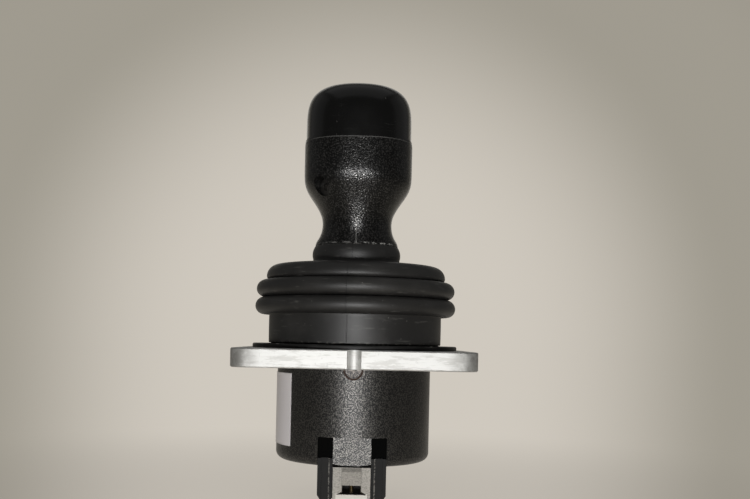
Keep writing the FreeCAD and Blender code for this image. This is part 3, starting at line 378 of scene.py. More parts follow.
@dataclass(frozen=True)
class BellowsRubber(Finish):
    """Moulded rubber boot: matt, dusty, with a mould line from foot to collar."""

    name: str = "boot_rubber_finish"
    colour: Colour = (0.0095, 0.0090, 0.0084)
    bloom: Colour = (0.0220, 0.0208, 0.0192)
    dust: Colour = (0.34, 0.33, 0.30)
    seam: Colour = (0.008, 0.008, 0.008)
    seam_turns: Band = (0.0011, 0.000385)
    foot_dust: Band = (10.2 * MM, 9.2 * MM)
    rim_dust: Band = (47.6 * MM, 48.3 * MM)
    relief: float = 0.035 * MM

    def build(self) -> bpy.types.Material:
        """Mould line where the share of the turn, kept in the UV map's U, is 0 or a half.

        Returns:
            The material.
        """
        g = Graph(self.name)
        z = g.axes()[2]
        half_turn = abs(g.axes("UV")[0] - 0.5)
        line = half_turn.rise(*self.seam_turns).most(abs(half_turn - 0.5).rise(*self.seam_turns))
        cloud = g.noise(85.0, 4.0, 0.6)
        grain = g.noise(3300.0, 3.0, 0.6)
        streak = g.noise((110, 110, 900), 3.0, 0.6)
        pale_part = g.noise(34.0, 2.0).rise(0.42, 0.62)
        specks = g.cells(360.0).rise(0.07, 0.03) * g.noise(40.0).rise(0.46, 0.6)
        foot = z.rise(*self.foot_dust) * g.noise(420.0, 4.0, 0.65).rise(0.5, 0.62)
        rim = z.rise(*self.rim_dust) * g.noise(700.0, 4.0, 0.7).rise(0.5, 0.6)
        tone = g.mix(pale_part * 0.45 + cloud.rise(0.45, 0.7) * 0.5, self.colour, self.bloom)
        tone = g.mix(streak.rise(0.6, 0.75) * 0.12, tone, self.dust)
        tone = g.mix((specks * 0.5).most(foot * 0.25).most(rim * 0.6), tone, self.dust)
        tone = g.mix(line * 0.8, tone, self.seam)
        height = grain * 0.5 + streak * 0.25 - line * 1.6
        gloss = 0.46 + cloud * 0.14 - pale_part * 0.05
        return g.finish(Base_Color=tone, Roughness=gloss, Normal=g.bump(height, self.relief))


@dataclass(frozen=True)
class MilledAluminium(Finish):
    """Bare milled plate: cutter lines, scratches, painted shade, a little duller, on its rounded
    corners and darker streaks at the ends.
    """

    name: str = "plate_aluminium_finish"
    colour: Colour = (0.60, 0.60, 0.585)
    cloudy: Colour = (0.55, 0.55, 0.535)
    corner_shade: Colour = (0.26, 0.255, 0.24)
    streak: Colour = (0.30, 0.29, 0.27)
    scratch: Colour = (0.30, 0.30, 0.29)
    half_side: float = 45.0 * MM
    ends: Band = (0.83, 0.97)
    corners: Band = (1.72, 1.93)
    relief: float = 0.012 * MM

    def build(self) -> bpy.types.Material:
        """Lines run along the sides on the rim and across the faces, as fine drawn-out noise.

        Returns:
            The material.
        """
        g = Graph(self.name)
        x, y, _ = g.axes()
        level = abs(g.axes("Normal")[2]).rise(0.5, 0.9)
        rim_lines = g.noise((26, 26, 5200), 3.0, 0.6)
        face_lines = g.noise((22, 4200, 22), 3.0, 0.6)
        lines = rim_lines * (1.0 - level) + face_lines * level
        scratched = g.scratches((95, 240, 2600), 0.64, 0.72)
        scuffed = g.scratches((900, 130, 420), 0.66, 0.74)
        ends = (abs(x).most(abs(y)) / self.half_side).rise(*self.ends)
        corner = ((abs(x) + abs(y)) / self.half_side).rise(*self.corners)
        mottle = g.noise(260.0, 5.0, 0.7).rise(0.42, 0.6)
        streaks = g.noise((120, 120, 700), 4.0, 0.7).rise(0.48, 0.6)
        # Painted shade on the rounded corners, mottled by noise, where the plate turns away from
        # the light.
        shaded_corners = (corner * (0.55 + mottle * 0.45)).least(1.0)
        pale = g.mix(g.noise(30.0).rise(0.4, 0.65) * 0.5, self.colour, self.cloudy)
        tone = g.mix(shaded_corners * 0.85, pale, self.corner_shade)
        tone = g.mix(streaks * ends * 0.35, tone, self.streak)
        marks = scratched.most(scuffed)
        tone = g.mix(marks * 0.35, tone, self.scratch)
        gloss = 0.58 + lines * 0.12 + shaded_corners * 0.06 - marks * 0.04
        normal = g.bump(lines + marks * 0.5, self.relief)
        return g.finish(Base_Color=tone, Metallic=0.86, Roughness=gloss, Normal=normal)


@dataclass(frozen=True)
class SparkedHousing(Finish):
    """Glass-filled moulding from a spark-eroded tool: sharp even grain, slight glints."""

    name: str = "housing_plastic_finish"
    colour: Colour = (0.0045, 0.0043, 0.0041)
    fibre: Colour = (0.084, 0.081, 0.076)
    unlit: Colour = (0.0025, 0.0025, 0.0024)
    dimple_shade_and_tint: Colour = (0.030, 0.014, 0.008)
    dust: Colour = (0.22, 0.21, 0.20)
    dusty: Band = (-1.4 * MM, -0.2 * MM)
    grain: float = 0.56 * MM
    relief: float = 0.07 * MM
    dimple_x: float = -0.2 * MM
    dimple_z: float = -0.7 * MM
    dimple_half: float = 3.4 * MM
    dimple_y: float = -20.0 * MM
    pocket_inner: float = 7.3 * MM
    pocket_outer: float = 13.1 * MM
    pocket_y: float = -26.5 * MM
    pocket_top: float = -25.8 * MM
    edge: float = 0.2 * MM

    def build(self) -> bpy.types.Material:
        """Noise at the grain's size makes the relief and picks out the fibres, which glint.

        The dimple is a disc round its middle, with a ring of painted shadow where the squared
        distance is 1.
        The pockets beside the connector are two upright bands in front of the middle, darkened
        with painted shade.

        Returns:
            The material.
        """
        g = Graph(self.name)
        x, y, z = g.axes()
        grain = g.noise(1.0 / self.grain, 1.0, 0.6)
        pits = g.cells(1.6 / self.grain)
        cloud = g.noise(60.0)
        fibres = g.noise(1.15 / self.grain, 1.0, 0.6).rise(0.49, 0.57)
        scuffs = g.noise((700, 700, 90), 3.0, 0.6).rise(0.66, 0.76) * cloud.rise(0.45, 0.6)
        dust = z.rise(*self.dusty) * g.noise(800.0, 4.0, 0.7).rise(0.5, 0.6)
        side = abs(x)
        # Painted shade in the pockets: a darker colour, full metallic and more roughness, so they
        # stay dark under any lamp.
        pocket = z.rise(self.pocket_top, self.pocket_top - self.edge)
        pocket = pocket * side.rise(self.pocket_inner - self.edge, self.pocket_inner)
        pocket = pocket * side.rise(self.pocket_outer + self.edge, self.pocket_outer)
        pocket = pocket * y.rise(self.pocket_y, self.pocket_y + self.edge) * y.rise(0.0, -1.0 * MM)
        across = abs(x - self.dimple_x) / self.dimple_half
        down = abs(z - self.dimple_z) / self.dimple_half
        reach = across**2.0 + down**2.0
        front = y.rise(self.dimple_y, self.dimple_y - 1.0 * MM)
        # The ring is painted shadow at the dimple's rim, brownish, matt and without glints; the
        # bowl inside takes a faint brownish tint.
        dimple_rim_shadow = abs(reach - 1.0).rise(0.28, 0.08) * front
        bowl = reach.rise(1.05, 0.75) * front
        tone = g.mix(fibres, self.colour, self.fibre)
        tone = g.mix((dimple_rim_shadow * 0.9).most(bowl * 0.25), tone, self.dimple_shade_and_tint)
        tone = g.mix((scuffs * 0.25).most(dust * 0.3), tone, self.dust)
        return g.finish(
            Base_Color=g.mix(pocket, tone, self.unlit),
            Metallic=(fibres * 0.95 * (1.0 - dimple_rim_shadow)).most(pocket),
            Roughness=0.38 + cloud * 0.06 + pocket * 0.25 + dimple_rim_shadow * 0.4,
            Normal=g.bump(grain * 1.2 + pits * 0.3 - bowl * 0.8, self.relief),
            Specular_IOR_Level=0.3,
        )


@dataclass(frozen=True)
class MouldedPlastic(Finish):
    """Plain engineering plastic with a fine skin, used for the connector and small parts."""

    name: str = "connector_plastic_finish"
    colour: Colour = (0.0065, 0.0063, 0.0060)
    bloom: Colour = (0.018, 0.0175, 0.0168)
    rough: float = 0.50
    skin: float = 2600.0
    depth: float = 0.015 * MM

    def build(self) -> bpy.types.Material:
        """Fine skin noise for relief, cloudy noise for tone, short scratches.

        Returns:
            The material.
        """
        g = Graph(self.name)
        skin = g.noise(self.skin, 3.0, 0.6)
        cloud = g.noise(150.0)
        scratches = g.scratches((240, 240, 3600), 0.62, 0.72) * cloud.rise(0.45, 0.6)
        tone = g.mix(cloud.rise(0.4, 0.7) * 0.4 + scratches * 0.4, self.colour, self.bloom)
        gloss, normal = self.rough + cloud * 0.1, g.bump(skin, self.depth)
        return g.finish(Base_Color=tone, Roughness=gloss, Normal=normal, Specular_IOR_Level=0.12)


@dataclass(frozen=True)
class ConnectorShell(MouldedPlastic):
    """Connector moulding with a painted highlight on its latch face and pale lines on its rail
    ribs.
    """

    # Colours of the latch face's painted highlight, and of the pale lines on the rail ribs.
    pale_part: Colour = (0.30, 0.285, 0.255)
    speck: Colour = (0.20, 0.19, 0.172)
    ribs: Colour = (0.15, 0.143, 0.130)
    pale_highlight: Colour = (0.54, 0.52, 0.48)
    face_half: float = 7.1 * MM
    face_y: float = -28.2 * MM
    face_top: float = -37.0 * MM
    strip_x: float = 3.7 * MM
    ramp_half: float = 5.9 * MM
    ramp_top: float = -46.8 * MM
    rib_x: float = 8.6 * MM
    rib_half: float = 0.40 * MM
    rib_front: Band = (-27.0 * MM, -27.6 * MM)
    seam: Band = (0.22 * MM, 0.10 * MM)
    edge: float = 0.1 * MM

    def build(self) -> bpy.types.Material:
        """The face lies between the rails and in front; each rib is a narrow upright band.

        On the face, the strips lie outside the seam and the smooth ramp at its foot; all carry
        painted highlight.

        Returns:
            The material.
        """
        g = Graph(self.name)
        x, y, z = g.axes()
        side = abs(x)
        speckle = g.noise(1700.0, 3.0, 0.7)
        cloud = g.noise(150.0)
        face = side.rise(self.face_half + self.edge, self.face_half - self.edge)
        face = face * y.rise(self.face_y + 3 * self.edge, self.face_y)
        face = face * z.rise(self.face_top, self.face_top - 2 * self.edge)
        rib = abs(side - self.rib_x).rise(self.rib_half, self.rib_half * 0.5)
        rib = rib * y.rise(*self.rib_front)
        # Painted highlight for the flat latch face: a speckled pale colour, laid over the face
        # below.
        lighter = g.mix(speckle.rise(0.36, 0.60), self.speck, self.pale_part)
        tone = g.mix(cloud.rise(0.4, 0.7) * 0.4, self.colour, self.bloom)
        tone = g.mix(rib * speckle.rise(0.40, 0.60) * 0.9, tone, self.ribs)
        tone = g.mix(face * (0.75 + cloud * 0.3).least(1.0), tone, lighter)
        # Paler painted highlight on the strips beside the seam; the seam itself is a darker line.
        strip = side.rise(self.strip_x, self.strip_x + 2 * self.edge) * speckle.rise(0.30, 0.52)
        tone = g.mix(face * strip * 0.22, tone, self.pale_highlight)
        seam = abs(side - self.strip_x).rise(*self.seam) * x.rise(0.0, -self.edge)
        tone = g.mix(face * seam * 0.5, tone, self.speck)
        # Palest painted highlight on the ramp at the face's foot.
        ramp = side.rise(self.ramp_half + self.edge, self.ramp_half - self.edge)
        ramp = ramp * z.rise(self.ramp_top, self.ramp_top - 2 * self.edge)
        tone = g.mix(face * ramp * 0.95, tone, self.pale_highlight)
        gloss = self.rough + cloud * 0.1 - face * 0.04
        normal = g.bump(g.noise(self.skin, 3.0, 0.6) + speckle, self.depth)
        return g.finish(Base_Color=tone, Roughness=gloss, Normal=normal, Specular_IOR_Level=0.1)


@dataclass(frozen=True)
class LabelFilm(Finish):
    """Bare label film under a clear coat, a little grubby at its edges."""

    name: str = "label_film_finish"
    colour: Colour = (0.56, 0.535, 0.545)
    shade: Colour = (0.40, 0.385, 0.37)
    top: float = -2.7 * MM
    foot: float = -30.7 * MM
    weave: float = 0.006 * MM

    def build(self) -> bpy.types.Material:
        """Edges grow darker within about a millimetre of the top and foot.

        Returns:
            The material.
        """
        g = Graph(self.name)
        z = g.axes()[2]
        edge = z.rise(self.foot + 1.2 * MM, self.foot).most(z.rise(self.top - 0.8 * MM, self.top))
        cloud = g.noise(140.0, 4.0, 0.6)
        scuffs = g.scratches((420, 420, 2400), 0.64, 0.72)
        tone = g.mix(edge * cloud.rise(0.35, 0.6) * 0.6 + scuffs * 0.15, self.colour, self.shade)
        gloss, normal = 0.42 + cloud * 0.12, g.bump(g.noise(4200.0, 2.0), self.weave)
        return g.finish(Base_Color=tone, Roughness=gloss, Normal=normal, Coat_Weight=0.15)


@dataclass(frozen=True)
class WorkedMetal(Finish):
    """Small metal parts: turned, plated, drawn or cast."""

    name: str
    colour: Colour
    tint: Colour
    rough: float
    grain: float = 2400.0
    depth: float = 0.01 * MM

    def build(self) -> bpy.types.Material:
        """Fine noise for the tool's marks, cloudy noise for the tint.

        Returns:
            The material.
        """
        g = Graph(self.name)
        marks = g.noise(self.grain, 3.0, 0.6)
        tone = g.mix(g.noise(180.0).rise(0.4, 0.65), self.colour, self.tint)
        gloss, normal = self.rough + marks * 0.12, g.bump(marks, self.depth)
        return g.finish(Base_Color=tone, Metallic=0.95, Roughness=gloss, Normal=normal)


@dataclass(frozen=True)
class BoardLaminate(Finish):
    """Solder-masked board with faint tracks."""

    name: str = "board_laminate_finish"
    mask: Colour = (0.010, 0.085, 0.030)
    track: Colour = (0.022, 0.150, 0.055)
    pitch: float = 0.9 * MM
    bend: float = 2.0 * MM
    sides: Band = (0.55 * MM, 0.6 * MM)
    copper: float = 0.03 * MM

    def build(self) -> bpy.types.Material:
        """Tracks are bands that repeat across X, bent and broken up by noise.

        Returns:
            The material.
        """
        g = Graph(self.name)
        shifted = g.axes()[0] + g.noise(90.0, 0.0).rise(0.4, 0.6) * self.bend
        track = g.math("PINGPONG", shifted, self.pitch).rise(*self.sides)
        track = track * g.noise(240.0).rise(0.45, 0.5)
        tone = g.mix(track, self.mask, self.track)
        gloss, normal = 0.3 + g.noise(3000.0, 2.0) * 0.1, g.bump(track, self.copper)
        return g.finish(Base_Color=tone, Roughness=gloss, Normal=normal)


class Finishes:
    """All the finishes, by the record's material slots.

    A row of METALS or PLASTICS holds a colour, a second one, the roughness and, where they
    differ from the rest, the waves per metre of the fine grain and its depth.
    """

    METALS: Mapping[str, tuple[Any, ...]] = {
        "dark_steel": ((0.06, 0.058, 0.055), (0.10, 0.095, 0.088), 0.38),
        "zinc_steel": ((0.55, 0.56, 0.57), (0.66, 0.65, 0.60), 0.34),
        "bright_steel": ((0.60, 0.60, 0.59), (0.68, 0.68, 0.67), 0.22),
        "spring_steel": ((0.32, 0.31, 0.30), (0.42, 0.41, 0.39), 0.3, 5200.0),
        "cast_alloy": ((0.46, 0.46, 0.45), (0.54, 0.53, 0.52), 0.5, 1100.0, 0.04 * MM),
        "bronze": ((0.48, 0.27, 0.11), (0.40, 0.22, 0.10), 0.36),
        # contact_brass is far darker than brass: painted shade, so the pins stay dark inside the
        # connector.
        "contact_brass": ((0.055, 0.043, 0.022), (0.045, 0.033, 0.016), 0.45),
    }
    PLASTICS: Mapping[str, tuple[Any, ...]] = {
        "black_plastic": ((0.012, 0.0118, 0.0115), (0.034, 0.033, 0.032), 0.42),
        "seal_rubber": ((0.012, 0.012, 0.012), (0.03, 0.03, 0.03), 0.6, 1800.0),
        "chip_plastic": ((0.014, 0.014, 0.015), (0.03, 0.03, 0.03), 0.5),
    }
    SLOTS: Mapping[str, Finish] = {
        "plate_aluminium": MilledAluminium(),
        "housing_plastic": SparkedHousing(),
        "connector_plastic": ConnectorShell(),
        "cap_plastic": SatinCap(),
        "grip_rubber": PebbledGrip(),
        "boot_rubber": BellowsRubber(),
        "label_film": LabelFilm(),
        "board_laminate": BoardLaminate(),
        **{slot: WorkedMetal(f"{slot}_finish", *look) for slot, look in METALS.items()},
        **{slot: MouldedPlastic(f"{slot}_finish", *look) for slot, look in PLASTICS.items()},
    }

    @classmethod
    def of(cls, slot: str) -> bpy.types.Material:
        """The material of a slot."""
        return cls.SLOTS[slot].material()


# ---- surfaces


def bow(start: Point, middle: Point, end: Point, count: int) -> np.ndarray:
    """Points of a circle's arc from start through middle to end.

    The centre solves two linear equations: it is as far from start as from middle, and as far
    from middle as from end. The angles run evenly from the start's to the end's, the way that
    passes the middle's.

    Args:
        start: First point.
        middle: A point on the way.
        end: Last point.
        count: Number of steps.

    Returns:
        count + 1 points, both ends among them.
    """
    a, b, c = (np.array(p, float) for p in (start, middle, end))
    squares = np.array([b @ b - a @ a, c @ c - b @ b])
    centre = np.linalg.solve(2 * np.array([b - a, c - b]), squares)
    angles = [math.atan2(*(p - centre)[::-1]) for p in (a, b, c)]
    turn = (angles[2] - angles[0]) % (2 * math.pi)
    if (angles[1] - angles[0]) % (2 * math.pi) > turn:
        turn -= 2 * math.pi
    sweep = angles[0] + turn * np.linspace(0, 1, count + 1)
    return centre + np.linalg.norm(a - centre) * np.stack([np.cos(sweep), np.sin(sweep)], 1)


def bulge(start: Point, end: Point, count: int) -> np.ndarray:
    """Points of the arc between two points that is upright at the outer one.

    With the other point reach further in and rise higher, the radius is
    (reach^2 + rise^2) / (2 reach), and the centre lies level with the outer point.

    Args:
        start: First point.
        end: Last point.
        count: Number of steps.

    Returns:
        count + 1 points, both ends among them.
    """
    widest, other = (start, end) if start[0] > end[0] else (end, start)
    reach, rise = widest[0] - other[0], other[1] - widest[1]
    radius = (reach**2 + rise**2) / (2 * reach)
    angle = math.atan2(rise, radius - reach) / 2
    middle = (widest[0] + radius * (math.cos(angle) - 1), widest[1] + radius * math.sin(angle))
    return bow(start, middle, end, count)


def fold(start: Point, end: Point, depth: float, count: int) -> np.ndarray:
    """Points of the arc between two points, drawn from below, that bows towards the axis.

    Its middle lies a depth to the left of the straight line's middle.

    Args:
        start: First point.
        end: Last point.
        depth: How far the arc leaves the straight line.
        count: Number of steps.

    Returns:
        count + 1 points, both ends among them.
    """
    a, b = np.array(start, float), np.array(end, float)
    left = np.array([a[1] - b[1], b[0] - a[0]]) / np.linalg.norm(b - a)
    return bow(start, tuple((a + b) / 2 + left * depth), end, count)


def run(start: Point, end: Point, count: int) -> np.ndarray:
    """Points of a straight run, both ends among them."""
    return np.linspace(start, end, count + 1)


def joined(pieces: Sequence[np.ndarray]) -> np.ndarray:
    """One line from several that meet, each shared end kept once."""
    return np.concatenate([pieces[0]] + [piece[1:] for piece in pieces[1:]])


def closed_grid(name: str, points: np.ndarray, loop_rows: bool) -> bpy.types.Mesh:
    """Mesh of a grid whose columns close on themselves.

    Corner (row, column) of each quad is joined to the next column and row; the last column meets
    the first, and with loop_rows so does the last row. The UV map keeps the column as a share of
    the turn in U and the row as a share of the whole in V.

    Args:
        name: Name of the mesh.
        points: Rows by columns by 3, in metres.
        loop_rows: Whether the rows close on themselves too.

    Returns:
        The mesh, smooth shaded.
    """
    rows, columns = points.shape[:2]
    bands = rows if loop_rows else rows - 1
    row, column = np.meshgrid(np.arange(bands), np.arange(columns), indexing="ij")
    corner_rows = np.stack([row, row, row + 1, row + 1], -1).reshape(-1, 4)
    corner_columns = np.stack([column, column + 1, column + 1, column], -1).reshape(-1, 4)
    faces = (corner_rows % rows) * columns + corner_columns % columns
    mesh = bpy.data.meshes.new(name)
    mesh.from_pydata(points.reshape(-1, 3), [], faces)
    uv = np.stack([corner_columns / columns, corner_rows / rows], -1)
    layer = mesh.uv_layers.new(name="around")
    layer.data.foreach_set("uv", uv.astype(np.float32).ravel())
    mesh.polygons.foreach_set("use_smooth", np.ones(len(faces), bool))
    mesh.update()
    return mesh


def revolve(name: str, profile: np.ndarray, steps: int, start: float = 0.0) -> bpy.types.Mesh:
    """Closed solid of revolution about Z.

    A profile point (r, z) at angle a is (r cos a, r sin a, z), for angles evenly round the turn.

    Args:
        name: Name of the mesh.
        profile: Closed line of (r, z) in metres, anticlockwise, without the first point repeated.
        steps: Points round the turn.
        start: Angle of the first column, in radians.

    Returns:
        The mesh.
    """
    angles = start + 2 * math.pi * np.arange(steps) / steps
    radii, heights = profile[:, 0:1], np.repeat(profile[:, 1:2], steps, 1)
    grid = np.stack([radii * np.cos(angles), radii * np.sin(angles), heights], -1)
    return closed_grid(name, grid, True)


def merged(name: str, meshes: Sequence[bpy.types.Mesh]) -> bpy.types.Mesh:
    """One mesh from several, with their open ends closed by flat faces.

    Args:
        name: Name of the new mesh.
        meshes: The meshes, which are removed.

    Returns:
        The mesh, its faces turned outward.
    """
    work = bmesh.new()
    for mesh in meshes:
        work.from_mesh(mesh)
        bpy.data.meshes.remove(mesh)
    ends = bmesh.ops.holes_fill(work, edges=[edge for edge in work.edges if edge.is_boundary])
    bmesh.ops.triangulate(work, faces=ends["faces"])
    bmesh.ops.recalc_face_normals(work, faces=work.faces)
    whole = bpy.data.meshes.new(name)
    work.to_mesh(whole)
    work.free()
    return whole


def place(
    name: str, mesh: bpy.types.Mesh, slot: str, sharp: float | None = None
) -> bpy.types.Object:
    """Puts a mesh in the scene with its slot's finish.

    Args:
        name: Name of the piece.
        mesh: Its mesh, already where it belongs.
        slot: Material slot of the record.
        sharp: Edges that turn by more than this angle stay sharp.

    Returns:
        The piece, at the origin.
    """
    piece = bpy.data.objects.new(name, mesh)
    bpy.context.scene.collection.objects.link(piece)
    mesh.materials.append(Finishes.of(slot))
    if sharp is not None:
        mesh.set_sharp_from_angle(angle=sharp)
    log.info("%s: %d faces", name, len(mesh.polygons))
    return piece


# ---- sub-assemblies


@dataclass
class Bellows:
    """Rubber boot with a plain skirt, three fat rings, a folded roof and a collar.

    All sizes are in millimetres. Ring 1 is the top one and ring 3 the lowest; widths holds their
    outer radii in that order. A ring's outside and inside are both round in section.
    """

    skirt_r: float = 34.6
    skirt_belly: Point = (0.05, 6.0)
    wall: float = 1.6
    half: float = 2.9
    depth: float = 4.9
    sag: float = 0.4
    widths: Triple = (35.9, 39.8, 40.2)
    low_ring: float = 24.0
    pitch: float = 6.8
    crown: float = 35.5
    inner_crown: float = 36.7
    low_bow: float = 0.4
    high_bow: float = 0.5
    tuck: Point = (0.1, -0.08)
    tuck_reach: float = 0.5
    shoulder_z: float = 40.1
    collar_r: float = 17.4
    collar_wall: float = 2.2
    collar_z: float = 40.9
    collar_bend: tuple[Point, Point, Point] = ((1.6, -0.4), (0.35, 0.5), (0.0, 1.8))
    lip_bend: Point = (0.1, -2.07)
    lip: float = 1.0
    top: float = 48.3
    bend_top: float = 46.8
    floor: float = 7.0
    bead: float = 36.8
    bead_top: float = 8.05
    foot: float = 9.0
    foot_round: float = 0.3
    foot_bow: float = 0.09
    steps: int = 240
    line_degrees: float = -95.1

    def __post_init__(self) -> None:
        """Works out the rings' heights, the radii of their roots and the upper crease."""
        self.z3 = self.low_ring
        self.z2 = self.z3 + self.pitch
        self.z1 = self.z2 + self.pitch
        self.r1 = self.widths[0] - self.depth / 2
        self.r2, self.r3 = self.widths[1] - self.depth, self.widths[2] - self.depth
        self.ring_round = (self.depth**2 + self.half**2) / (2 * self.depth)
        self.hollow_round = self.ring_round - self.wall
        self.low_web = self.r2 - self.low_bow - self.wall
        self.high_web = self.r1 - self.wall
        ends = (self.r2, self.z2 + self.half), (self.r1, self.z1 - self.half)
        self.crease = fold(*ends, self.high_bow, 8)
        self.cut = float(self.crease[4][1])

    def _ring(self, width: float, z: float, foot: Point, top: Point) -> np.ndarray:
        """Outside of one ring; its widest line sags below the middle.

        Args:
            width: Radius of the widest line.
            z: Height of the ring's middle.
            foot: Where the outside starts.
            top: Where it ends.

        Returns:
            The line from foot to top.
        """
        widest = (width, z - self.sag)
        return joined([bulge(foot, widest, 11), bulge(widest, top, 11)])

    def _hollow(self, width: float, z: float, above: float, below: float) -> np.ndarray:
        """Inside of one ring: a half circle between two level runs.

        Args:
            width: Radius of the outside's widest line.
            z: Height of the ring's middle.
            above: Radius of the wall above the ring.
            below: Radius of the wall below it.

        Returns:
            The line from the wall above to the wall below.
        """
        radius, centre = self.hollow_round, width - self.ring_round
        return joined(
            [
                run((above, z + radius), (centre, z + radius), 3),
                bow((centre, z + radius), (centre + radius, z), (centre, z - radius), 8),
                run((centre, z - radius), (below, z - radius), 3),
            ]
        )

    def lower_profile(self) -> np.ndarray:
        """Outline of the bead, the skirt and the two lower rings, up to the upper crease.

        Returns:
            Closed line of (r, z) in metres, anticlockwise, without the first point repeated.
        """
        skirt, half, foot = self.skirt_r, self.half, self.foot
        r2, r3, z2, z3 = self.r2, self.r3, self.z2, self.z3
        neck, inner, root = skirt - self.wall / 2, skirt - 2 * self.wall, z3 - half
        edge, near = self.foot_round, self.foot_bow
        belly = (skirt + self.skirt_belly[0], foot + self.skirt_belly[1])
        under = (skirt, root - self.tuck_reach)
        ring = self._ring(self.widths[2], z3, (skirt, root), (r3, z3 + half))[2:]
        outside = [
            run((inner, self.floor), (self.bead, self.floor), 3),
            run((self.bead, self.floor), (self.bead, self.bead_top), 1),
            run((self.bead, self.bead_top), (neck, self.bead_top), 2),
            run((neck, self.bead_top), (neck, foot), 2),
            run((neck, foot), (skirt - edge, foot), 1),
            bow((skirt - edge, foot), (skirt - near, foot + near), (skirt, foot + edge), 3),
            bow((skirt, foot + edge), belly, under, 8),
            bow(under, (skirt + self.tuck[0], root + self.tuck[1]), tuple(ring[0]), 3),
            ring,
            fold((r3, z3 + half), (r2, z2 - half), self.low_bow, 6),
            self._ring(self.widths[1], z2, (r2, z2 - half), (r2, z2 + half)),
            self.crease[:5],
        ]
        inside = [
            run((self.high_web, self.cut), (self.high_web, z2 + self.hollow_round), 2),
            self._hollow(self.widths[1], z2, self.high_web, self.low_web),
            self._hollow(self.widths[2], z3, self.low_web, inner),
            run((inner, z3 - self.hollow_round), (inner, self.floor), 5),
        ]
        return np.concatenate([joined(outside), joined(inside)[:-1]]) * MM

    def upper_profile(self) -> np.ndarray:
        """Outline of the top ring, the roof and the collar, from the upper crease.

        Returns:
            Closed line of (r, z) in metres, anticlockwise, without the first point repeated.
        """
        wall, collar, roof, low = self.wall, self.collar_r, self.shoulder_z, self.collar_z
        shoulder = self.widths[0] - self.depth
        root, bend, plain = ((collar + across, low + up) for across, up in self.collar_bend)
        valley, bore = (collar + shoulder) / 2, collar - self.collar_wall
        rim = (collar + self.lip_bend[0], self.top + self.lip_bend[1])
        start, widest = (self.r1, self.z1 - self.half), (self.widths[0], self.crown)
        inner_start = (self.high_web, start[1] + wall)
        inner_widest = (self.widths[0] - wall, self.inner_crown)
        inner_root, inner_shoulder = (root[0], root[1] - wall), (shoulder, roof - wall)
        outside = [
            self.crease[4:],
            bulge(start, widest, 6),
            bulge(widest, (shoulder, roof), 14),
            bow((shoulder, roof), (valley, roof - wall), root, 10),
            bow(root, bend, plain, 5),
            bow(plain, rim, (collar - self.lip, self.top), 10),
        ]
        inside = [
            run((bore, self.top), (bore, low), 4),
            run((bore, low), inner_root, 2),
            bow(inner_root, (valley, roof - 2 * wall), inner_shoulder, 8),
            bulge(inner_shoulder, inner_widest, 6),
            bulge(inner_widest, inner_start, 6),
            run(inner_start, (self.high_web, self.cut), 2),
        ]
        return np.concatenate([joined(outside), joined(inside)]) * MM

    def make(self) -> None:
        """Adds both pieces; they meet in the crease."""
        start = math.radians(self.line_degrees + 180.0)
        profiles = {
            "boot_skirt_and_rings": self.lower_profile(),
            "boot_roof_and_collar": self.upper_profile(),
        }
        pieces = []
        for name, profile in profiles.items():
            piece = place(name, revolve(name, profile, self.steps, start), "boot_rubber")
            pieces.append(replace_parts(piece, "boot"))
        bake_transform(pieces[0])
        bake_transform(pieces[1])


@dataclass
class RingScrews:
    """Four small countersunk screws with cross recesses, in millimetres.

    The head's flat and its rounded edge end at those shares of its radius; the grid starts an
    eye's width from the axis, and merging closes the hole that is left.
    """

    head_r: float = 1.75
    shank_r: float = 1.0
    top: float = 8.7
    length: float = 5.7
    circle: float = 39.0
    eye: float = 0.01
    flat: float = 0.93
    rounded: float = 0.98
    dip: float = 0.05
    rim: float = 0.12
    tip: float = 0.3
    recess: float = 1.05
    slot: float = 0.27
    sink: float = 0.8
    side_slope: float = 2.5
    end_slope: float = 3.0
    rings: int = 26
    degrees: tuple[float, ...] = (45.0, 135.0, 225.0, 315.0)
    turns: tuple[float, ...] = (12.0, 63.0, 31.0, 78.0)
    sharp_degrees: float = 38.0
    steps: int = 64

    def _screw(self, angle: float, turn: float) -> np.ndarray:
        """Grid of one screw, from the middle of its head outwards and down to its end.

        On the head the height is the top less sink times two shares, each kept from 0 to 1:
        side_slope (1 - across / slot) and end_slope (1 - along / recess), with along and across
        the larger and smaller of |x| and |y| in the turned cross. Below the head the radius falls
        along the cone to the shank and then to almost nothing at the end.

        Args:
            angle: Place on the circle, in degrees.
            turn: Turn of the cross, in degrees.

        Returns:
            Rows by columns by 3, in metres.
        """
        around = 2 * math.pi * np.arange(self.steps) / self.steps
        edge = [self.head_r * self.rounded, self.head_r]
        head = np.concatenate([np.linspace(self.eye, self.flat, self.rings) * self.head_r, edge])
        cone = self.head_r - self.shank_r
        below = [
            (self.head_r, self.rim),
            (self.shank_r, cone + self.rim),
            (self.shank_r, self.length - self.tip),
            (self.shank_r - self.tip, self.length),
            (self.eye, self.length),
        ]
        radii = np.concatenate([head, [r for r, _ in below]])[:, None]
        down = np.concatenate([np.zeros(len(head)), [depth for _, depth in below]])[:, None]
        down[len(head) - 1] = self.dip
        x, y = radii * np.cos(around), radii * np.sin(around)
        spin = math.radians(turn)
        u = np.abs(x * math.cos(spin) + y * math.sin(spin))
        v = np.abs(y * math.cos(spin) - x * math.sin(spin))
        along, across = np.maximum(u, v), np.minimum(u, v)
        cross = np.clip((1 - across / self.slot) * self.side_slope, 0, 1)
        cross = cross * np.clip((1 - along / self.recess) * self.end_slope, 0, 1)
        on_head = np.arange(len(radii))[:, None] < len(head)
        z = self.top - down - np.where(on_head, self.sink * cross, 0)
        x = x + self.circle * math.cos(math.radians(angle))
        y = y + self.circle * math.sin(math.radians(angle))
        return np.stack([x, y, z], -1)[::-1] * MM

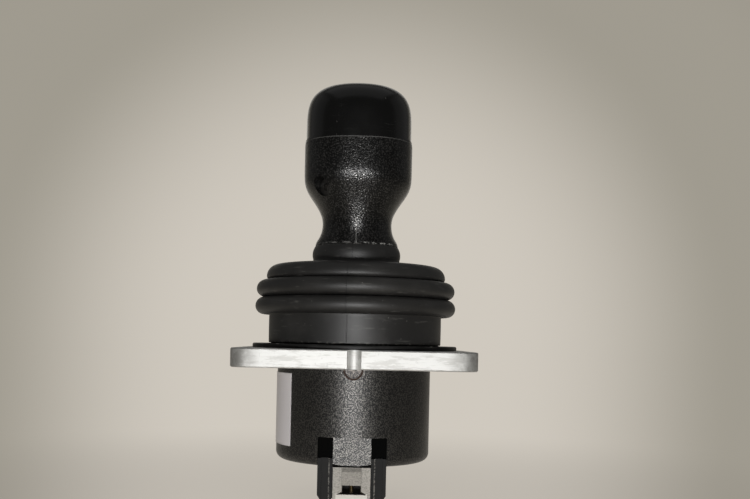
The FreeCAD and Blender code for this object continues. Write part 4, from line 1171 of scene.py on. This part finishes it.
    def make(self) -> None:
        """Adds the four screws as one piece."""
        meshes = [
            closed_grid(f"screw_{index}", self._screw(angle, turn), False)
            for index, (angle, turn) in enumerate(zip(self.degrees, self.turns))
        ]
        whole = merged("ring_screw_heads", meshes)
        piece = place("ring_screw_heads", whole, "zinc_steel", math.radians(self.sharp_degrees))
        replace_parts(piece, "ring_screws")
        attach(piece, Body.BASE.value)


@dataclass
class FrameParts:
    """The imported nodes, dressed by the record's slots."""

    def make(self) -> None:
        """Gives each node the finish of its slot."""
        for row in frame["record"]["subparts"]:
            name, slot = row["node"], row["material_slot"]
            node = frame["nodes"][name]
            node.data.materials.clear()
            node.data.materials.append(Finishes.of(slot))
            log.info("%s: %s", name, slot)


@dataclass(frozen=True)
class Lamp:
    """One square soft lamp that points at the middle of the joystick."""

    name: str
    power: float
    size: float
    spot: Triple
    target: Triple = (0.0, 0.0, 0.03)

    def make(self) -> None:
        """Adds the lamp."""
        data = bpy.data.lights.new(self.name, "AREA")
        data.energy = self.power
        data.size = self.size
        lamp = bpy.data.objects.new(self.name, data)
        lamp.location = self.spot
        aim = Vector(self.target) - Vector(self.spot)
        lamp.rotation_euler = aim.to_track_quat("-Z", "Y").to_euler()
        lamp.visible_camera = False
        bpy.context.scene.collection.objects.link(lamp)


@dataclass
class Studio:
    """Pale floor that fades into an even backdrop, soft lamps and the camera.

    The backdrop turns to its corner colour between the cosines in bright, and to its dim colour
    between those in dusk. Lengths are in metres, the horizon and the lever's axis in pixels.
    """

    backdrop: Colour = (0.625, 0.582, 0.517)
    corner: Colour = (0.350, 0.326, 0.276)
    dim: Colour = (0.085, 0.083, 0.078)
    soft: Colour = (0.130, 0.128, 0.124)
    paper: Colour = (0.88, 0.82, 0.745)
    bright: Band = (0.992, 0.925)
    dusk: Band = (0.90, 0.68)
    glow_share: float = 0.74
    glow_from: float = 0.05
    glow_to: float = 0.30
    floor_z: float = -52.4 * MM
    floor_rings: tuple[float, ...] = (0.01 * MM, 0.1, 0.3, 0.6, 1.0, 3.0)
    floor_steps: int = 96
    sensor: float = 36.0
    clip: float = 0.01
    frame_width: int = 750
    frame_height: int = 499
    focal_px: float = 939.0
    eye: Triple = (0.0, -0.380, 0.011)
    horizon: float = 339.0
    axis_x: float = 354.6
    roll_degrees: float = 1.25
    lamps: tuple[Lamp, ...] = (
        Lamp("key", 1.85, 0.04, (-0.006, -0.46, -0.040)),
        Lamp("top", 0.9, 1.30, (0.0, -0.1, 1.0)),
        Lamp("left", 0.3, 1.10, (-1.0, 0.2, 0.45)),
        Lamp("right", 0.3, 1.10, (1.0, 0.2, 0.45)),
        Lamp("back", 0.7, 0.80, (0.0, 1.0, 0.45)),
    )

    def make(self) -> None:
        """Adds floor, world, lamps and camera."""
        self._floor()
        self._world()
        for lamp in self.lamps:
            lamp.make()
        self._camera()

    def _floor(self) -> None:
        """Flat disc of rings and spokes: a point at (r, a) is (r cos a, r sin a, floor)."""
        radii = np.array(self.floor_rings)[:, None]
        angles = 2 * math.pi * np.arange(self.floor_steps) / self.floor_steps
        heights = np.full((len(radii), self.floor_steps), self.floor_z)
        grid = np.stack([radii * np.cos(angles), radii * np.sin(angles), heights], -1)
        mesh = closed_grid("floor", grid, False)
        mesh.materials.append(self._paper())
        floor = bpy.data.objects.new("floor", mesh)
        bpy.context.scene.collection.objects.link(floor)

    def _glow(self, g: Graph, across: Flow, ahead: Flow, up: Number) -> bpy.types.NodeSocket:
        """Backdrop's colour in a direction: palest ahead, greyer to the corners, dim at the sides.

        Args:
            g: Graph of the floor or the world.
            across: Part of the direction along X.
            ahead: Part along Y.
            up: Part along Z.

        Returns:
            The colour.
        """
        cosine = ahead / (across * across + ahead * ahead + up * up) ** 0.5
        near = g.mix(cosine.rise(*self.bright), self.backdrop, self.corner)
        return g.mix(cosine.rise(*self.dusk), near, self.dim)

    def _paper(self) -> bpy.types.Material:
        """Matt paper that glows as the even backdrop does, wholly so away from the object.

        Returns:
            The floor's material.
        """
        g = Graph("floor_paper")
        x, y, _ = g.axes()
        away = (x * x + y * y) ** 0.5
        paper = g.node("ShaderNodeBsdfDiffuse", {}, {"Color": (*self.paper, 1.0)})
        colour = self._glow(g, x, y - self.eye[1], 0.0)
        glow = g.node("ShaderNodeEmission", {}, {"Color": colour, "Strength": 1.0})
        fade = self.glow_share + away.rise(self.glow_from, self.glow_to) * (1 - self.glow_share)
        parts = {0: fade, 1: paper.outputs[0], 2: glow.outputs[0]}
        both = g.node("ShaderNodeMixShader", {}, parts)
        g.node("ShaderNodeOutputMaterial", {}, {"Surface": both.outputs[0]})
        return g.material

    def _world(self) -> None:
        """The backdrop's colour for what is seen or mirrored, a dimmer white for soft light."""
        world = bpy.data.worlds.new("studio")
        bpy.context.scene.world = world
        g = Graph("studio", world)
        seen = g.node("ShaderNodeBackground", {}, {"Color": self._glow(g, *g.axes("Generated"))})
        soft = g.node("ShaderNodeBackground", {}, {"Color": (*self.soft, 1.0)})
        path = g.node("ShaderNodeLightPath", {}, {})
        names = ("Is Camera Ray", "Is Glossy Ray", "Is Transmission Ray")
        camera, glossy, through = (Flow(g, path.outputs[name]) for name in names)
        direct = camera.most(glossy).most(through)
        parts = {0: direct, 1: soft.outputs[0], 2: seen.outputs[0]}
        both = g.node("ShaderNodeMixShader", {}, parts)
        g.node("ShaderNodeOutputWorld", {}, {"Surface": both.outputs[0]})

    def _camera(self) -> None:
        """Level camera in front, shifted to frame the whole lever and rolled a little."""
        data = bpy.data.cameras.new("camera")
        data.sensor_fit = "HORIZONTAL"
        data.sensor_width = self.sensor
        data.lens = self.focal_px / self.frame_width * self.sensor
        data.shift_x = (self.frame_width / 2 - self.axis_x) / self.frame_width
        data.shift_y = (self.horizon - self.frame_height / 2) / self.frame_width
        data.clip_start = self.clip
        camera = bpy.data.objects.new("camera", data)
        upright = Matrix.Rotation(math.radians(90), 4, "X")
        roll = Matrix.Rotation(math.radians(self.roll_degrees), 4, "Z")
        camera.matrix_world = Matrix.Translation(self.eye) @ upright @ roll
        bpy.context.scene.collection.objects.link(camera)
        bpy.context.scene.camera = camera


def main() -> None:
    """Dresses the frame, adds the soft and fine pieces, and sets the studio."""
    logging.basicConfig(level=logging.INFO, format="%(message)s")
    bpy.context.scene.view_settings.view_transform = "Standard"
    for assembly in (FrameParts(), Bellows(), RingScrews(), Studio()):
        assembly.make()


if __name__ == "__main__":
    main()
